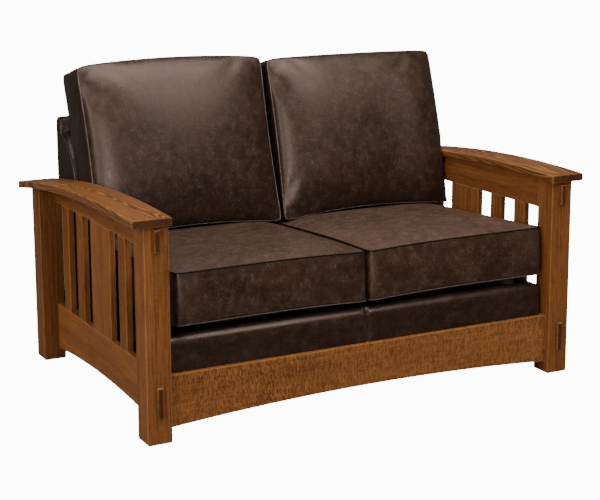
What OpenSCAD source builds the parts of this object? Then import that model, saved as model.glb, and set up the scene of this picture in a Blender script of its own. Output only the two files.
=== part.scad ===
// A two-seat settee with a slatted oak frame, bowed arm boards and loose leather cushions.
// X runs along the seat, Y runs from front to back, Z is up. The origin is on the floor,
// under the middle of the arm boards. Left is at -X, as seen from in front. Sizes are in
// millimetres, and a distance "behind" is measured from the front faces of the front posts.

/* [Frame] */
// Width across the outer faces of the posts
frame_w = 1444; // [1300:4:1700]
// Depth across the outer faces of the posts
frame_d = 975; // [950:5:1060]
// Side of the square posts
post_w = 74; // [70:1:82]
// Rounding of the posts' long edges
post_round = 2; // [1:0.5:4]
// Chamfer round the foot of each post
foot_chamfer = 4; // [2:0.5:8]

/* [Arm boards] */
// Height of the arm board's top at the crest of its bow
arm_h = 651; // [640:1:700]
// Distance of the crest behind
arm_crest = 250; // [200:5:400]
// Radius of the bow, measured to the top of the board
arm_bow = 4760; // [4200:20:8000]
// Thickness of the arm board
arm_t = 22; // [18:0.5:28]
// Overhang of the arm board past the outer face of the posts
arm_out = 38; // [20:1:55]
// Overhang of the arm board past the inner face of the posts
arm_in = 8; // [2:1:9]
// Overhang of the arm board past the front posts
arm_front = 11; // [11:1:30]
// Overhang of the arm board past the rear posts
arm_rear = 26; // [5:1:45]
// Rounding of the arm board's long edges
arm_round = 3.5; // [1:0.5:6]
// Rounding of the arm board's corners, seen from above
arm_corner = 7; // [2:0.5:14]
// Side of the square stub on each post that enters the arm board
stub_w = 36; // [24:1:50]
// Length of that stub
stub_l = 11; // [8:0.5:12]

/* [Rails] */
// Height of the lower rails, all round
rail_h = 152; // [140:1:170]
// Height of the rails' undersides above the floor, at the posts
rail_z = 38; // [25:1:50]
// Thickness of the front and rear rails
rail_t = 25; // [20:0.5:30]
// Distance of the front and rear rails inside the faces of the posts
rail_setback = 18; // [10:0.5:22]
// Rise of the arch under the front rail
front_arch = 26; // [10:1:45]
// Rise of the arch under the side rails
side_arch = 22; // [8:1:35]
// Distance of the upper side rails' lower edge below the arm boards' crest
upper_rail_drop = 119; // [111:1:150]
// Thickness of the side rails and the slats, which lie flush
side_t = 19; // [16:0.5:22]
// Distance of the side rails inside the outer face of the posts
side_inset = 52; // [46:0.5:53]
// Rounding of the rails' and slats' long edges
edge_round = 1.2; // [0.5:0.1:2.5]

/* [Slats] */
// Width of the narrow slats
narrow_slat = 58; // [45:1:70]
// Width of the wide middle slat
wide_slat = 160; // [120:1:200]

/* [Joints in the wood] */
// Length of the rails' tenons
tenon_l = 26; // [18:1:28]
// Thickness of the tenons and of the slats' tongues
tenon_t = 9; // [6:0.5:11]
// Shoulder above and below each tenon, and beside each tongue
shoulder = 11; // [8:1:16]
// Length of the slats' tongues
tongue_l = 11; // [8:0.5:16]
// Clearance round each tenon, and past its end
fit = 0.2; // [0.1:0.05:0.3]

/* [Tenon ends on the front posts] */
// Width of the tenon ends
cap_w = 19; // [14:0.5:26]
// Height of the lower tenon ends
lower_cap_h = 90; // [70:1:120]
// Height of the lower tenon ends' undersides above the floor
lower_cap_z = 77; // [50:1:90]
// Height of the upper tenon ends
upper_cap_h = 64; // [50:1:68]
// Distance of the upper tenon ends' undersides below the arm boards' crest
upper_cap_drop = 102; // [99:1:111]
// How far the tenon ends stand proud of the posts
cap_proud = 10; // [5:0.5:10.5]
// How deep the tenon ends are let into the posts
cap_depth = 14; // [10:1:18]
// Bevel round the face of the tenon ends
cap_bevel = 3; // [1:0.5:4.5]

/* [Seat deck] */
// Slope of the seat, down towards the back, in degrees
seat_pitch = 3.2; // [2:0.1:4]
// Distance of the deck's leather front behind
deck_front = 36; // [32:1:42]
// Distance of the deck's rear edge inside the rear posts' rear faces
deck_rear = 303; // [299:4:340]
// Gap between the deck and the posts, at each end
deck_gap = 10; // [9:1:14]
// Width of the deck frame's bars
bar_w = 32; // [30:1:40]
// Height of the deck frame's bars where the springs lie on them
bar_h = 54; // [44:1:58]
// Width of the ridge along the front and rear bars
ridge_w = 8; // [6:0.5:9]
// Height of the deck's edges, from its underside to the leather's top
deck_edge_h = 96; // [88:1:110]
// Extra height of the leather in the middle of the deck
deck_crown = 8; // [4:1:14]
// Thickness of the felt over the springs
felt_t = 3; // [2:0.5:5]
// Thickness of the leather
leather_t = 2; // [1.5:0.1:2.5]
// Radius of the deck's rolled front edge
deck_roll = 20; // [12:1:24]
// Thickness of the dust cloth under the deck
cloth_t = 1; // [0.6:0.1:2]

/* [Springs] */
// Springs under each seat cushion
springs_per_seat = 4; // [3:1:5]
// Straight runs of wire in each spring
spring_runs = 19; // [15:2:21]
// Length of each straight run
spring_run = 24; // [22:1:28]
// Thickness of the spring wire
wire_d = 4; // [3:0.1:4.5]
// Width of the steel clips that hold the springs
clip_w = 18; // [12:1:20]
// Thickness of the clips' steel
clip_t = 1.5; // [1:0.1:2]
// Length of the clips' nailed tails
clip_tail = 5; // [4:0.5:5.5]

/* [Seat cushions] */
// Gap between the two seats' cushions
cushion_gap = 12; // [8:1:20]
// Gap between the outer cushions and the posts' inner faces
cushion_side_gap = 14; // [13:1:30]
// Distance of the seat cushions' rear seam inside the rear posts' rear faces
seat_rear = 283; // [279:2:330]
// Height of the seat cushions' boxing, between its seams
seat_t = 148; // [120:1:160]
// Distance of the seat cushions' lower front seam behind
seat_front = 28; // [20:1:40]
// Rise of the seat cushions' crown above the upper seam
seat_crown = 24; // [10:1:40]
// Depth of the seat cushions' belly below the lower seam
seat_belly = 30; // [15:1:40]
// How much deeper the belly would hang if the deck didn't flatten it
belly_flat = 5; // [1:1:12]
// Gap between a cushion and what it rests on
rest_gap = 0.5; // [0.4:0.1:0.9]
// How far the cushions' sides draw in between the corners
draw_in = 7; // [2:0.5:12]
// Radius of the cushions' corners
cushion_corner = 30; // [15:1:45]
// How far the boxing bulges at half its height
boxing_bulge = 2.5; // [1:0.5:3.5]

/* [Back cushions] */
// Lean of the back, in degrees
back_lean = 14; // [11:0.5:16]
// Distance of the back cushions' lower front seam inside the rear posts' rear faces
back_rear = 375; // [365:5:395]
// Height of the back cushions along their lean, between the seams
back_h = 534; // [460:2:560]
// Thickness of the back cushions' boxing
back_t = 140; // [120:1:146]
// Rise of the back cushions' crown in front of the seam
back_crown = 50; // [20:1:60]
// How far the crown spreads over the seam at the sides
back_spread = 20; // [0:1:24]
// How far the back cushions' lower edge draws up between the corners, over the seat's crown
foot_draw = 12; // [7:1:18]
// How far their upper edge draws in between the corners; below zero, it bows up
head_draw = -4; // [-8:1:7]

/* [Back frame] */
// Height of the back frame's top
back_top = 800; // [770:5:840]
// Distance of the back frame's rear face inside the rear posts' rear faces
back_inset = 30; // [26:1:36]
// Gap between the back frame and the arm boards
back_side_gap = 2; // [1:0.5:4]
// Thickness of the back frame's side pieces
stile_t = 22; // [18:1:26]
// Depth of the back frame's top, from front to rear
top_depth = 40; // [36:1:50]
// Distance below the back's top at which its seam turns away from the cushions
knee_drop = 180; // [150:5:200]
// Distance below the back's top at which the pad's middle turns away from the cushions
bulge_drop = 85; // [70:5:130]
// Thickness of the back's foam along its edges
back_pad = 18; // [12:1:20]
// Height of the back frame's cross rails
cross_h = 60; // [45:1:75]
// Thickness of the back frame's lower cross rails
cross_t = 20; // [16:1:24]
// Thickness of the outside back panel
panel_t = 3; // [2:0.5:5]
// Width of the webbing straps in the back
strap_w = 50; // [40:1:60]
// Thickness of the webbing straps
strap_t = 1.6; // [1:0.1:2.5]
// Number of webbing straps
straps = 9; // [6:1:12]

/* [Cleats, blocks and screws] */
// Thickness of the cleats that carry the deck and the back
cleat_t = 24; // [20:1:26]
// Height of those cleats
cleat_h = 42; // [30:1:48]
// Length of a corner block's legs along the rails
block_leg = 95; // [90:5:120]
// Height of the corner blocks
block_h = 40; // [34:1:44]
// Height of the corner blocks above the rails' undersides
block_rise = 34; // [32:1:40]
// Distance of each screw along the rail from the corner of the frame
screw_inset = 38; // [34:1:42]
// Thickness of each block under the screw's head
screw_seat = 28; // [20:1:30]
// Depth of the screws in the rails
screw_bite = 14; // [10:1:15]
// Diameter of the screws
screw_d = 6; // [5:0.5:6.4]
// Diameter of the screws' clearance holes in the blocks
screw_hole = 6.8; // [6.8:0.1:8]
// Diameter of the screws' heads
screw_head = 12; // [10:0.5:13]
// Height of the screws' heads
screw_head_h = 4; // [3:0.5:6]
// Diameter of the counterbores for the heads
counterbore = 14; // [14:0.5:16]

/* [Hidden] */

// Lines that the frame is set out from
front_y = arm_front - (frame_d + arm_front + arm_rear) / 2;
rear_y = front_y + frame_d;
half_w = frame_w / 2;
inner_x = half_w - post_w;
post_mid_x = half_w - post_w / 2;
rail_top = rail_z + rail_h;
inner_d = frame_d - 2 * post_w;
upper_rail_z = arm_h - upper_rail_drop;
upper_cap_z = arm_h - upper_cap_drop;
side_in_x = half_w - side_inset - side_t;
side_mid_x = side_in_x + side_t / 2;
arm_w = post_w + arm_out + arm_in;
arm_l = frame_d + arm_front + arm_rear;
crest_y = front_y + arm_crest;
bow_z = arm_h - arm_bow;
bow_steps = 720;
arch_steps = 720;
slop = 1;

// Height of the arm board's underside above the floor
function under_arm(y) = bow_z + sqrt(pow(arm_bow - arm_t, 2) - pow(y - crest_y, 2));

// Radius of an arch from half its chord and its rise
function arch_radius(half_chord, rise) = (half_chord * half_chord + rise * rise) / (2 * rise);

// Points of an arc, from angle a0 to a1
function arc(c, r, a0, a1, n) =
    [for (i = [0 : n]) let (a = a0 + (a1 - a0) * i / n) [c[0] + r * cos(a), c[1] + r * sin(a)]];

// Point of a cubic curve with end points p0 and p3 and handles p1 and p2
function bezier(p0, p1, p2, p3, t) = pow(1 - t, 3) * p0 + 3 * t * pow(1 - t, 2) * p1
    + 3 * t * t * (1 - t) * p2 + pow(t, 3) * p3;

// A rectangle with round corners, from one corner at the origin
module round_rect(w, h, r, n = 3)
    polygon(concat(arc([w - r, h - r], r, 0, 90, n), arc([r, h - r], r, 90, 180, n),
        arc([r, r], r, 180, 270, n), arc([w - r, r], r, 270, 360, n)));

// A bar along X, Y or Z with its long edges eased, from one corner at the origin
module bar_x(size, r = edge_round)
    rotate([90, 0, 90]) linear_extrude(size[0]) round_rect(size[1], size[2], r);
module bar_y(size, r = edge_round)
    translate([0, size[1], 0]) rotate([90, 0, 0]) linear_extrude(size[1]) round_rect(size[0], size[2], r);
module bar_z(size, r = edge_round)
    linear_extrude(size[2]) round_rect(size[0], size[1], r);

// A profile of Y and Z, extruded along X and centred on it
module along_x(len, points)
    translate([-len / 2, 0, 0]) rotate([90, 0, 90]) linear_extrude(len) polygon(points);

// What lies below the arm boards' undersides
module below_arms()
    translate([-half_w - arm_out, crest_y, bow_z]) rotate([0, 90, 0])
        cylinder(r = arm_bow - arm_t - fit / 2, h = frame_w + 2 * arm_out, $fn = bow_steps);

module oak() color("sienna") children();
module inner_wood() color("burlywood") children();
module leather() color([0.24, 0.17, 0.14]) children();
module foam() color([0.93, 0.89, 0.76]) children();
module steel() color("silver") children();

// Each side is drawn at +X, for s = 1, and the other is its mirror image, for s = -1
module at_side(s) mirror([s < 0 ? 1 : 0, 0, 0]) children();

// Each end is drawn at the front, for e = -1, and the other is its mirror image, for e = 1
module at_end(e) translate([0, (front_y + rear_y) / 2, 0]) mirror([0, e > 0 ? 1 : 0, 0])
    translate([0, -(front_y + rear_y) / 2, 0]) children();

// Joints in the wood, drawn with a margin where they are cut

// Tenon of a side rail at the front post, for a rail from z0 to z1
module side_tenon(z0, z1, margin = 0)
    translate([side_mid_x - tenon_t / 2, front_y + post_w - tenon_l, z0 + shoulder] - margin * [1, 1, 1])
        cube([tenon_t + 2 * margin, tenon_l + margin + slop, z1 - z0 - 2 * (shoulder - margin)]);

// Tenon of the front rail at the right post
module rail_tenon(margin = 0)
    translate([inner_x - slop, front_y + rail_setback + (rail_t - tenon_t) / 2 - margin,
        rail_z + shoulder - margin])
        cube([tenon_l + margin + slop, tenon_t + 2 * margin, rail_h - 2 * (shoulder - margin)]);

// Top of the upper side rail where it meets a post
function rail_end_top(e) = under_arm(e < 0 ? front_y + post_w : rear_y - post_w);

// Square stub on a post that enters the arm board, for a post that starts at y0
module stub(y0, margin = 0) {
    z = under_arm(y0 + post_w / 2);
    translate([post_mid_x - stub_w / 2 - margin, y0 + (post_w - stub_w) / 2 - margin, z - 2 * stub_l])
        cube([stub_w + 2 * margin, stub_w + 2 * margin, 3 * stub_l + margin]);
}

// Decorative tenon end, let into the front post, h high with its underside at z0
module tenon_end(h, z0, margin = 0) {
    proud = -cap_proud;
    deep = cap_depth + margin;
    half = cap_w / 2 + margin;
    translate([post_mid_x, front_y, z0]) intersection() {
        translate([0, 0, -margin]) linear_extrude(h + 2 * margin)
            polygon([[-half, deep], [-half, proud + cap_bevel], [cap_bevel - half, proud],
                [half - cap_bevel, proud], [half, proud + cap_bevel], [half, deep]]);
        along_x(2 * half, [[deep, -margin], [proud + cap_bevel, -margin], [proud, cap_bevel - margin],
            [proud, h + margin - cap_bevel], [proud + cap_bevel, h + margin], [deep, h + margin]]);
    }
}

// Posts, arm boards and rails

module post_blank(y0) intersection() {
    translate([inner_x, y0, 0]) bar_z([post_w, post_w, arm_h], post_round);
    translate([inner_x, y0 + post_w, 0]) rotate([90, 0, 0]) linear_extrude(post_w) foot_profile();
    translate([inner_x, y0, 0]) rotate([90, 0, 90]) linear_extrude(post_w) foot_profile();
    below_arms();
}

module foot_profile()
    polygon([[foot_chamfer, 0], [post_w - foot_chamfer, 0], [post_w, foot_chamfer], [post_w, arm_h],
        [0, arm_h], [0, foot_chamfer]]);

module front_post(s) oak() at_side(s) {
    difference() {
        post_blank(front_y);
        rail_tenon(fit);
        side_tenon(rail_z, rail_top, fit);
        side_tenon(upper_rail_z, rail_end_top(-1), fit);
        tenon_end(lower_cap_h, lower_cap_z, fit);
        tenon_end(upper_cap_h, upper_cap_z, fit);
    }
    stub(front_y);
}

module rear_post(s) oak() at_side(s) {
    difference() {
        post_blank(rear_y - post_w);
        at_end(1) {
            rail_tenon(fit);
            side_tenon(rail_z, rail_top, fit);
            side_tenon(upper_rail_z, rail_end_top(1), fit);
        }
    }
    stub(rear_y - post_w);
}

// The board is cut from a ring with the bow's radius, and square at its ends
module arm_board(s) oak() at_side(s) difference() {
    intersection() {
        translate([inner_x - arm_in + arm_w / 2, crest_y, bow_z]) rotate([0, -90, 0])
            rotate_extrude($fn = bow_steps) translate([arm_bow - arm_t, -arm_w / 2])
                round_rect(arm_t, arm_w, arm_round);
        translate([inner_x - arm_in, front_y - arm_front, 0])
            linear_extrude(2 * arm_h) round_rect(arm_w, arm_l, arm_corner);
    }
    stub(front_y, fit);
    stub(rear_y - post_w, fit);
}

// The five slats from front to back: where each starts, and its width
widths = [narrow_slat, narrow_slat, wide_slat, narrow_slat, narrow_slat];
slat_gap = (inner_d - 4 * narrow_slat - wide_slat) / 6;
function width_before(i) = i == 0 ? 0 : widths[i - 1] + width_before(i - 1);
function slat_y(i) = front_y + post_w + slat_gap * (i + 1) + width_before(i);

// Tongue of slat i, centred on the edge of a rail at height z, so that it serves both ways
module tongue(i, z, margin = 0)
    translate([side_mid_x - tenon_t / 2 - margin, slat_y(i) + shoulder - margin, z - tongue_l - margin])
        cube([tenon_t + 2 * margin, widths[i] - 2 * (shoulder - margin), 2 * (tongue_l + margin)]);

module side_slat(s, i) oak() at_side(s) {
    translate([side_in_x, slat_y(i), rail_top]) bar_z([side_t, widths[i], upper_rail_z - rail_top]);
    tongue(i, rail_top);
    tongue(i, upper_rail_z);
}

module upper_side_rail(s) oak() at_side(s) difference() {
    union() {
        intersection() {
            translate([side_in_x, front_y + post_w, upper_rail_z])
                bar_y([side_t, inner_d, arm_h - upper_rail_z]);
            below_arms();
        }
        side_tenon(upper_rail_z, rail_end_top(-1));
        at_end(1) side_tenon(upper_rail_z, rail_end_top(1));
    }
    for (i = [0 : 4]) tongue(i, upper_rail_z, fit);
}

module lower_side_rail(s) oak() at_side(s) difference() {
    r = arch_radius(inner_d / 2, side_arch);
    union() {
        translate([side_in_x, front_y + post_w, rail_z]) bar_y([side_t, inner_d, rail_h]);
        side_tenon(rail_z, rail_top);
        at_end(1) side_tenon(rail_z, rail_top);
    }
    translate([side_in_x - slop, (front_y + rear_y) / 2, rail_z + side_arch - r]) rotate([0, 90, 0])
        cylinder(r = r, h = side_t + 2 * slop, $fn = arch_steps);
    for (i = [0 : 4]) tongue(i, rail_top, fit);
    for (e = [-1, 1]) at_end(e) side_screw_hole(screw_d + 2 * fit, screw_bite + fit);
}

// The front rail at y, with tenons at both ends, cut for the blocks' screws
module cross_rail() difference() {
    union() {
        translate([-inner_x, front_y + rail_setback, rail_z]) bar_x([2 * inner_x, rail_t, rail_h]);
        for (s = [-1, 1]) at_side(s) rail_tenon();
    }
    for (s = [-1, 1]) at_side(s) front_screw_hole(screw_d + 2 * fit, screw_bite + fit);
}

module front_rail() oak() difference() {
    r = arch_radius(inner_x, front_arch);
    cross_rail();
    translate([0, front_y + rail_setback - slop, rail_z + front_arch - r]) rotate([-90, 0, 0])
        cylinder(r = r, h = rail_t + 2 * slop, $fn = arch_steps);
}

module rear_rail() oak() at_end(1) cross_rail();

module lower_tenon_end(s) oak() at_side(s) tenon_end(lower_cap_h, lower_cap_z);
module upper_tenon_end(s) oak() at_side(s) tenon_end(upper_cap_h, upper_cap_z);

// Corner blocks and their screws

rail_in_y = front_y + rail_setback + rail_t;
block_z = rail_z + block_rise;
screw_x = inner_x - screw_inset;
screw_y = front_y + post_w + screw_inset;
screw_tip = screw_seat + screw_bite;

// Bore for a screw through the block into the front rail, d wide and deep into the rail
module front_screw_hole(d, deep)
    translate([screw_x, rail_in_y + slop, block_z + block_h / 3]) rotate([90, 0, 0])
        cylinder(d = d, h = deep + slop, $fn = 24);

// Bore for a screw through the block into the side rail
module side_screw_hole(d, deep)
    translate([side_in_x - slop, screw_y, block_z + block_h * 2 / 3]) rotate([0, 90, 0])
        cylinder(d = d, h = deep + slop, $fn = 24);

module corner_block() difference() {
    translate([0, 0, block_z]) linear_extrude(block_h)
        polygon([[inner_x - block_leg, rail_in_y], [inner_x, rail_in_y], [inner_x, front_y + post_w],
            [side_in_x, front_y + post_w], [side_in_x, front_y + post_w + block_leg]]);
    translate([screw_x, rail_in_y - slop, block_z + block_h / 3]) rotate([-90, 0, 0]) {
        cylinder(d = screw_hole, h = block_leg * 2, $fn = 24);
        translate([0, 0, screw_seat + slop]) cylinder(d = counterbore, h = block_leg * 2, $fn = 32);
    }
    translate([side_in_x + slop, screw_y, block_z + block_h * 2 / 3]) rotate([0, -90, 0]) {
        cylinder(d = screw_hole, h = block_leg * 2, $fn = 24);
        translate([0, 0, screw_seat + slop]) cylinder(d = counterbore, h = block_leg * 2, $fn = 32);
    }
}

// A screw that points along -Z, with its head on z = 0
module screw() {
    translate([0, 0, -screw_tip]) cylinder(d = screw_d, h = screw_tip, $fn = 24);
    cylinder(d = screw_head, h = screw_head_h, $fn = 24);
}

module corner_blocks() inner_wood()
    for (s = [-1, 1], e = [-1, 1]) at_side(s) at_end(e) corner_block();

module block_screws() steel()
    for (s = [-1, 1], e = [-1, 1]) at_side(s) at_end(e) {
        translate([screw_x, rail_in_y + screw_seat, block_z + block_h / 3]) rotate([-90, 0, 0]) screw();
        translate([side_in_x - screw_seat, screw_y, block_z + block_h * 2 / 3]) rotate([0, -90, 0]) screw();
    }

// Cleats under the deck

// Height of the deck's underside above the floor
function deck_z(y) = rail_top - (y - rail_in_y) * tan(seat_pitch);

deck_d = frame_d - deck_front - deck_rear;
cleat_end = rail_in_y + deck_d * cos(seat_pitch);

module deck_cleat(s) inner_wood() at_side(s)
    translate([side_in_x - cleat_t / 2, 0, 0]) along_x(cleat_t, [
        [front_y + post_w + fit, deck_z(front_y + post_w + fit) - cleat_h],
        [cleat_end, deck_z(cleat_end) - cleat_h],
        [cleat_end, deck_z(cleat_end)],
        [front_y + post_w + fit, deck_z(front_y + post_w + fit)]]);

module front_cleat() inner_wood() along_x(2 * (inner_x - fit), [
    [rail_in_y, rail_top - cleat_h], [rail_in_y + cleat_t, rail_top - cleat_h],
    [rail_in_y + cleat_t, deck_z(rail_in_y + cleat_t)], [rail_in_y, rail_top]]);

module rear_cleat() inner_wood()
    translate([fit - inner_x, rear_y - rail_setback - rail_t - cleat_t, rail_top - cleat_h])
        cube([2 * (inner_x - fit), cleat_t, cleat_h]);

// Seat deck, drawn level with its underside at z = 0 and y = 0 over the front rail's rear face

deck_half = inner_x - deck_gap;
deck_y0 = front_y + deck_front - rail_in_y;
deck_y1 = deck_y0 + deck_d;
bar_y0 = deck_y0 + leather_t;
bar_half = deck_half - leather_t;
side_bar_in = bar_half - bar_w;
wire_z = bar_h + fit + wire_d / 2;
clip_r = wire_d / 2 + fit;
felt_z = wire_z + clip_r + clip_t + fit;
felt_top = felt_z + felt_t;
wire_y0 = bar_y0 + (ridge_w + bar_w) / 2;
wire_y1 = deck_y1 - (ridge_w + bar_w) / 2;
profile_steps = 16;

module on_deck() translate([0, rail_in_y, rail_top]) rotate([-seat_pitch, 0, 0]) children();

// A bar with a ridge along its outer edge, from y = 0 inwards
module ridged_bar() along_x(2 * bar_half,
    [[0, 0], [bar_w, 0], [bar_w, bar_h], [ridge_w, bar_h], [ridge_w, felt_z], [0, felt_z]]);

module deck_front_bar() inner_wood() on_deck() translate([0, bar_y0, 0]) ridged_bar();
module deck_rear_bar() inner_wood() on_deck() translate([0, deck_y1, 0]) mirror([0, 1, 0]) ridged_bar();

module deck_side_bars() inner_wood() on_deck() for (s = [-1, 1]) at_side(s)
    translate([side_bar_in, bar_y0 + bar_w, 0]) cube([bar_w, deck_y1 - bar_y0 - 2 * bar_w, felt_z]);

module deck_centre_bar() inner_wood() on_deck()
    translate([-bar_w / 2, bar_y0 + bar_w, cloth_t])
        cube([bar_w, deck_y1 - bar_y0 - 2 * bar_w, felt_z - cloth_t]);

module deck_dust_cloth() color([0.12, 0.12, 0.12]) on_deck()
    translate([-side_bar_in, bar_y0 + bar_w, 0])
        cube([2 * side_bar_in, deck_y1 - bar_y0 - 2 * bar_w, cloth_t]);

// One spring: a wire in straight runs along X, joined by half turns at alternate ends
module spring() {
    pitch = (wire_y1 - wire_y0) / (spring_runs - 1);
    for (i = [0 : spring_runs - 1]) {
        translate([-spring_run / 2, wire_y0 + i * pitch, wire_z]) rotate([0, 90, 0])
            cylinder(d = wire_d, h = spring_run, $fn = 16);
        side = i % 2 == 0 ? 1 : -1;
        if (i < spring_runs - 1)
            translate([side * spring_run / 2, wire_y0 + (i + 0.5) * pitch, wire_z])
                rotate([0, 0, -90 * side]) rotate_extrude(angle = 180, $fn = 32)
                    translate([pitch / 2, 0]) circle(d = wire_d, $fn = 16);
    }
}

function spring_x(k) = bar_w / 2 + (side_bar_in - bar_w / 2) * (k + 0.5) / springs_per_seat;

module seat_springs(s) steel() on_deck()
    for (k = [0 : springs_per_seat - 1]) translate([s * spring_x(k), 0, 0]) spring();

// A strip of steel nailed to the bar, bent over the wire; its tail points along -Y
module clip() along_x(clip_w, concat(
    [[-clip_r - clip_t - clip_tail, bar_h], [-clip_r, bar_h]],
    arc([0, wire_z], clip_r, 180, 0, 8),
    [[clip_r, bar_h], [clip_r + clip_t, bar_h]],
    arc([0, wire_z], clip_r + clip_t, 0, 180, 8),
    [[-clip_r - clip_t, bar_h + clip_t], [-clip_r - clip_t - clip_tail, bar_h + clip_t]]));

module spring_clips() steel() on_deck()
    for (s = [-1, 1], k = [0 : springs_per_seat - 1]) translate([s * spring_x(k), 0, 0]) {
        translate([0, wire_y0, 0]) clip();
        translate([0, wire_y1, 0]) mirror([0, 1, 0]) clip();
    }

module deck_felt() color("gray") on_deck()
    translate([-bar_half, bar_y0, felt_z]) cube([2 * bar_half, deck_y1 - bar_y0, felt_t]);

// The deck's rolled front and crowned top, an inset inside the leather's outer face
function deck_line(inset) = let (y_roll = deck_y0 + deck_roll, span = deck_y1 - y_roll) concat(
    arc([y_roll, deck_edge_h - deck_roll], deck_roll - inset, 180, 90, 6),
    [for (i = [1 : profile_steps]) let (t = i / profile_steps)
        [y_roll + span * t, deck_edge_h - inset + deck_crown * sin(180 * t)]]);

module deck_foam() foam() on_deck() along_x(2 * bar_half,
    concat([[bar_y0, felt_top]], deck_line(leather_t), [[deck_y1, felt_top]]));

module deck_leather() leather() on_deck() difference() {
    along_x(2 * deck_half, concat([[deck_y0, 0]], deck_line(0), [[deck_y1, 0]]));
    along_x(2 * bar_half, concat([[bar_y0, -slop]], deck_line(leather_t),
        [[deck_y1 + slop, deck_edge_h - leather_t], [deck_y1 + slop, -slop]]));
}

// Cushions: a crowned top and belly, drawn-in sides, and a bulged boxing between the seams

cushion_w = inner_x - cushion_side_gap - cushion_gap / 2;
cushion_x = (cushion_gap + cushion_w) / 2;
grid = 16;
rings = 3;

// How fast the crown rises from the seam: less is fuller at the edges
soft = 0.4;
full = 0.3;

// Share of the crown at u, v, which run from -1 to 1 across the cushion
function puff(u, v, fill) = pow(max(0, (1 - u * u) * (1 - v * v)), fill);

// Plan of a cushion w by d: drawn in at mid-side, by foot and head at its ends, and rounded at the corners
function plan(u, v, w, d, foot, head) = let (
    cut = 0.29 * cushion_corner * pow(abs(u * v), 18),
    draw = head + (foot - head) * (1 - v) / 2) [
    u * (w / 2 - draw_in * (1 - v * v)) - sign(u) * cut,
    v * (d / 2 - draw * (1 - u * u)) - sign(v) * cut];

// Outward direction of the boxing at u, v
function outward(u, v) = let (n = [sign(u) * pow(abs(u), 40), sign(v) * pow(abs(v), 40)])
    n / max(1, norm(n));

// Grid cell on the seam, counted round from the front left corner
function seam_cell(m) = m < grid ? [m, 0] : m < 2 * grid ? [grid, m - grid]
    : m < 3 * grid ? [3 * grid - m, grid] : [0, 4 * grid - m];

// A cushion w by d and t thick between its seams, with its crown along +Z, spread over its side seams
module cushion(w, d, t, crown, belly, hang, fill, foot, head, spread) {
    uv = [for (i = [0 : grid]) sin(90 * (2 * i / grid - 1))];
    count = (grid + 1) * (grid + 1);
    round_seam = 4 * grid;
    top = [for (u = uv, v = uv) let (p = plan(u, v, w, d, foot, head), h = puff(u, v, fill))
        [p[0] + spread * h * u * pow(abs(u), 8) * (1 - pow(v, 8)), p[1], t / 2 + crown * h]];
    under = [for (u = uv, v = uv) let (p = plan(u, v, w, d, foot, head))
        [p[0], p[1], -t / 2 - min(belly, (belly + hang) * puff(u, v, fill))]];
    boxing = [for (k = [1 : rings], m = [0 : round_seam - 1]) let (
        c = seam_cell(m), u = uv[c[0]], v = uv[c[1]], h = 1 - 2 * k / (rings + 1),
        p = plan(u, v, w, d, foot, head) + outward(u, v) * boxing_bulge * (1 - h * h))
        [p[0], p[1], h * t / 2]];
    // Index of point m on seam line k: 0 is the upper seam, rings + 1 the lower one
    function at(k, m) = let (c = seam_cell(m % round_seam), g = c[0] * (grid + 1) + c[1])
        k == 0 ? g : k == rings + 1 ? count + g : 2 * count + (k - 1) * round_seam + m % round_seam;
    cells = [for (i = [0 : grid - 1], j = [0 : grid - 1]) let (a = i * (grid + 1) + j)
        [a, a + grid + 1, a + grid + 2, a + 1]];
    polyhedron(concat(top, under, boxing), concat(
        [for (q = cells, f = [[q[0], q[3], q[2]], [q[0], q[2], q[1]]]) f],
        [for (q = cells, f = [[q[0], q[1], q[2]], [q[0], q[2], q[3]]]) f + [count, count, count]],
        [for (k = [0 : rings], m = [0 : round_seam - 1],
            f = [[at(k, m), at(k, m + 1), at(k + 1, m + 1)],
                [at(k, m), at(k + 1, m + 1), at(k + 1, m)]]) f]));
}

// Seat cushions, in the deck's own directions
seat_d = frame_d - seat_front - seat_rear;
seat_base = deck_edge_h + deck_crown + rest_gap + seat_belly;
seat_mid_y = (front_y + seat_front - rail_in_y - seat_base * sin(seat_pitch)) / cos(seat_pitch) + seat_d / 2;

module seat_cushion(s) leather() on_deck()
    translate([s * cushion_x, seat_mid_y, seat_base + seat_t / 2])
        cushion(cushion_w, seat_d, seat_t, seat_crown, seat_belly, belly_flat, soft, draw_in, draw_in, 0);

// Height of the seat's top above the floor at y, for a place u across the cushion
function seat_top(y, u) = let (
    local_y = (y - rail_in_y) / cos(seat_pitch) + (seat_base + seat_t) * sin(seat_pitch),
    v = min(1, max(-1, (local_y - seat_mid_y) / (seat_d / 2 - draw_in * (1 - u * u)))))
    rail_top - local_y * sin(seat_pitch)
        + (seat_base + seat_t + seat_crown * puff(u, v, soft)) * cos(seat_pitch);

// Back cushions stand on the seat: the foot is as low as the seat, which ends under it, lets it be
back_y = frame_d - back_rear;
foot_run = back_t * cos(back_lean);
function lift(u, q) = let (y = front_y + back_y + q * foot_run)
    seat_top(y, u) + q * back_t * sin(back_lean) - foot_draw * (1 - u * u) * cos(back_lean);
seat_end = rail_in_y + (seat_mid_y + seat_d / 2 + boxing_bulge) * cos(seat_pitch)
    + (seat_base + seat_t) * sin(seat_pitch);
reach = min(1, (seat_end - front_y - back_y) / foot_run);
back_z = rest_gap + boxing_bulge + max([for (u = [0 : 0.1 : 1], i = [0 : 50]) lift(u, reach * i / 50)]);
back_mid_y = front_y + back_y + (back_h * sin(back_lean) + back_t * cos(back_lean)) / 2;
back_mid_z = back_z + (back_h * cos(back_lean) - back_t * sin(back_lean)) / 2;

module back_cushion(s) leather()
    translate([s * cushion_x, back_mid_y, back_mid_z]) rotate([-back_lean, 0, 0]) rotate([90, 0, 0])
        cushion(cushion_w, back_h, back_t, back_crown, 0, 0, full, foot_draw, head_draw, back_spread);

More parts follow.
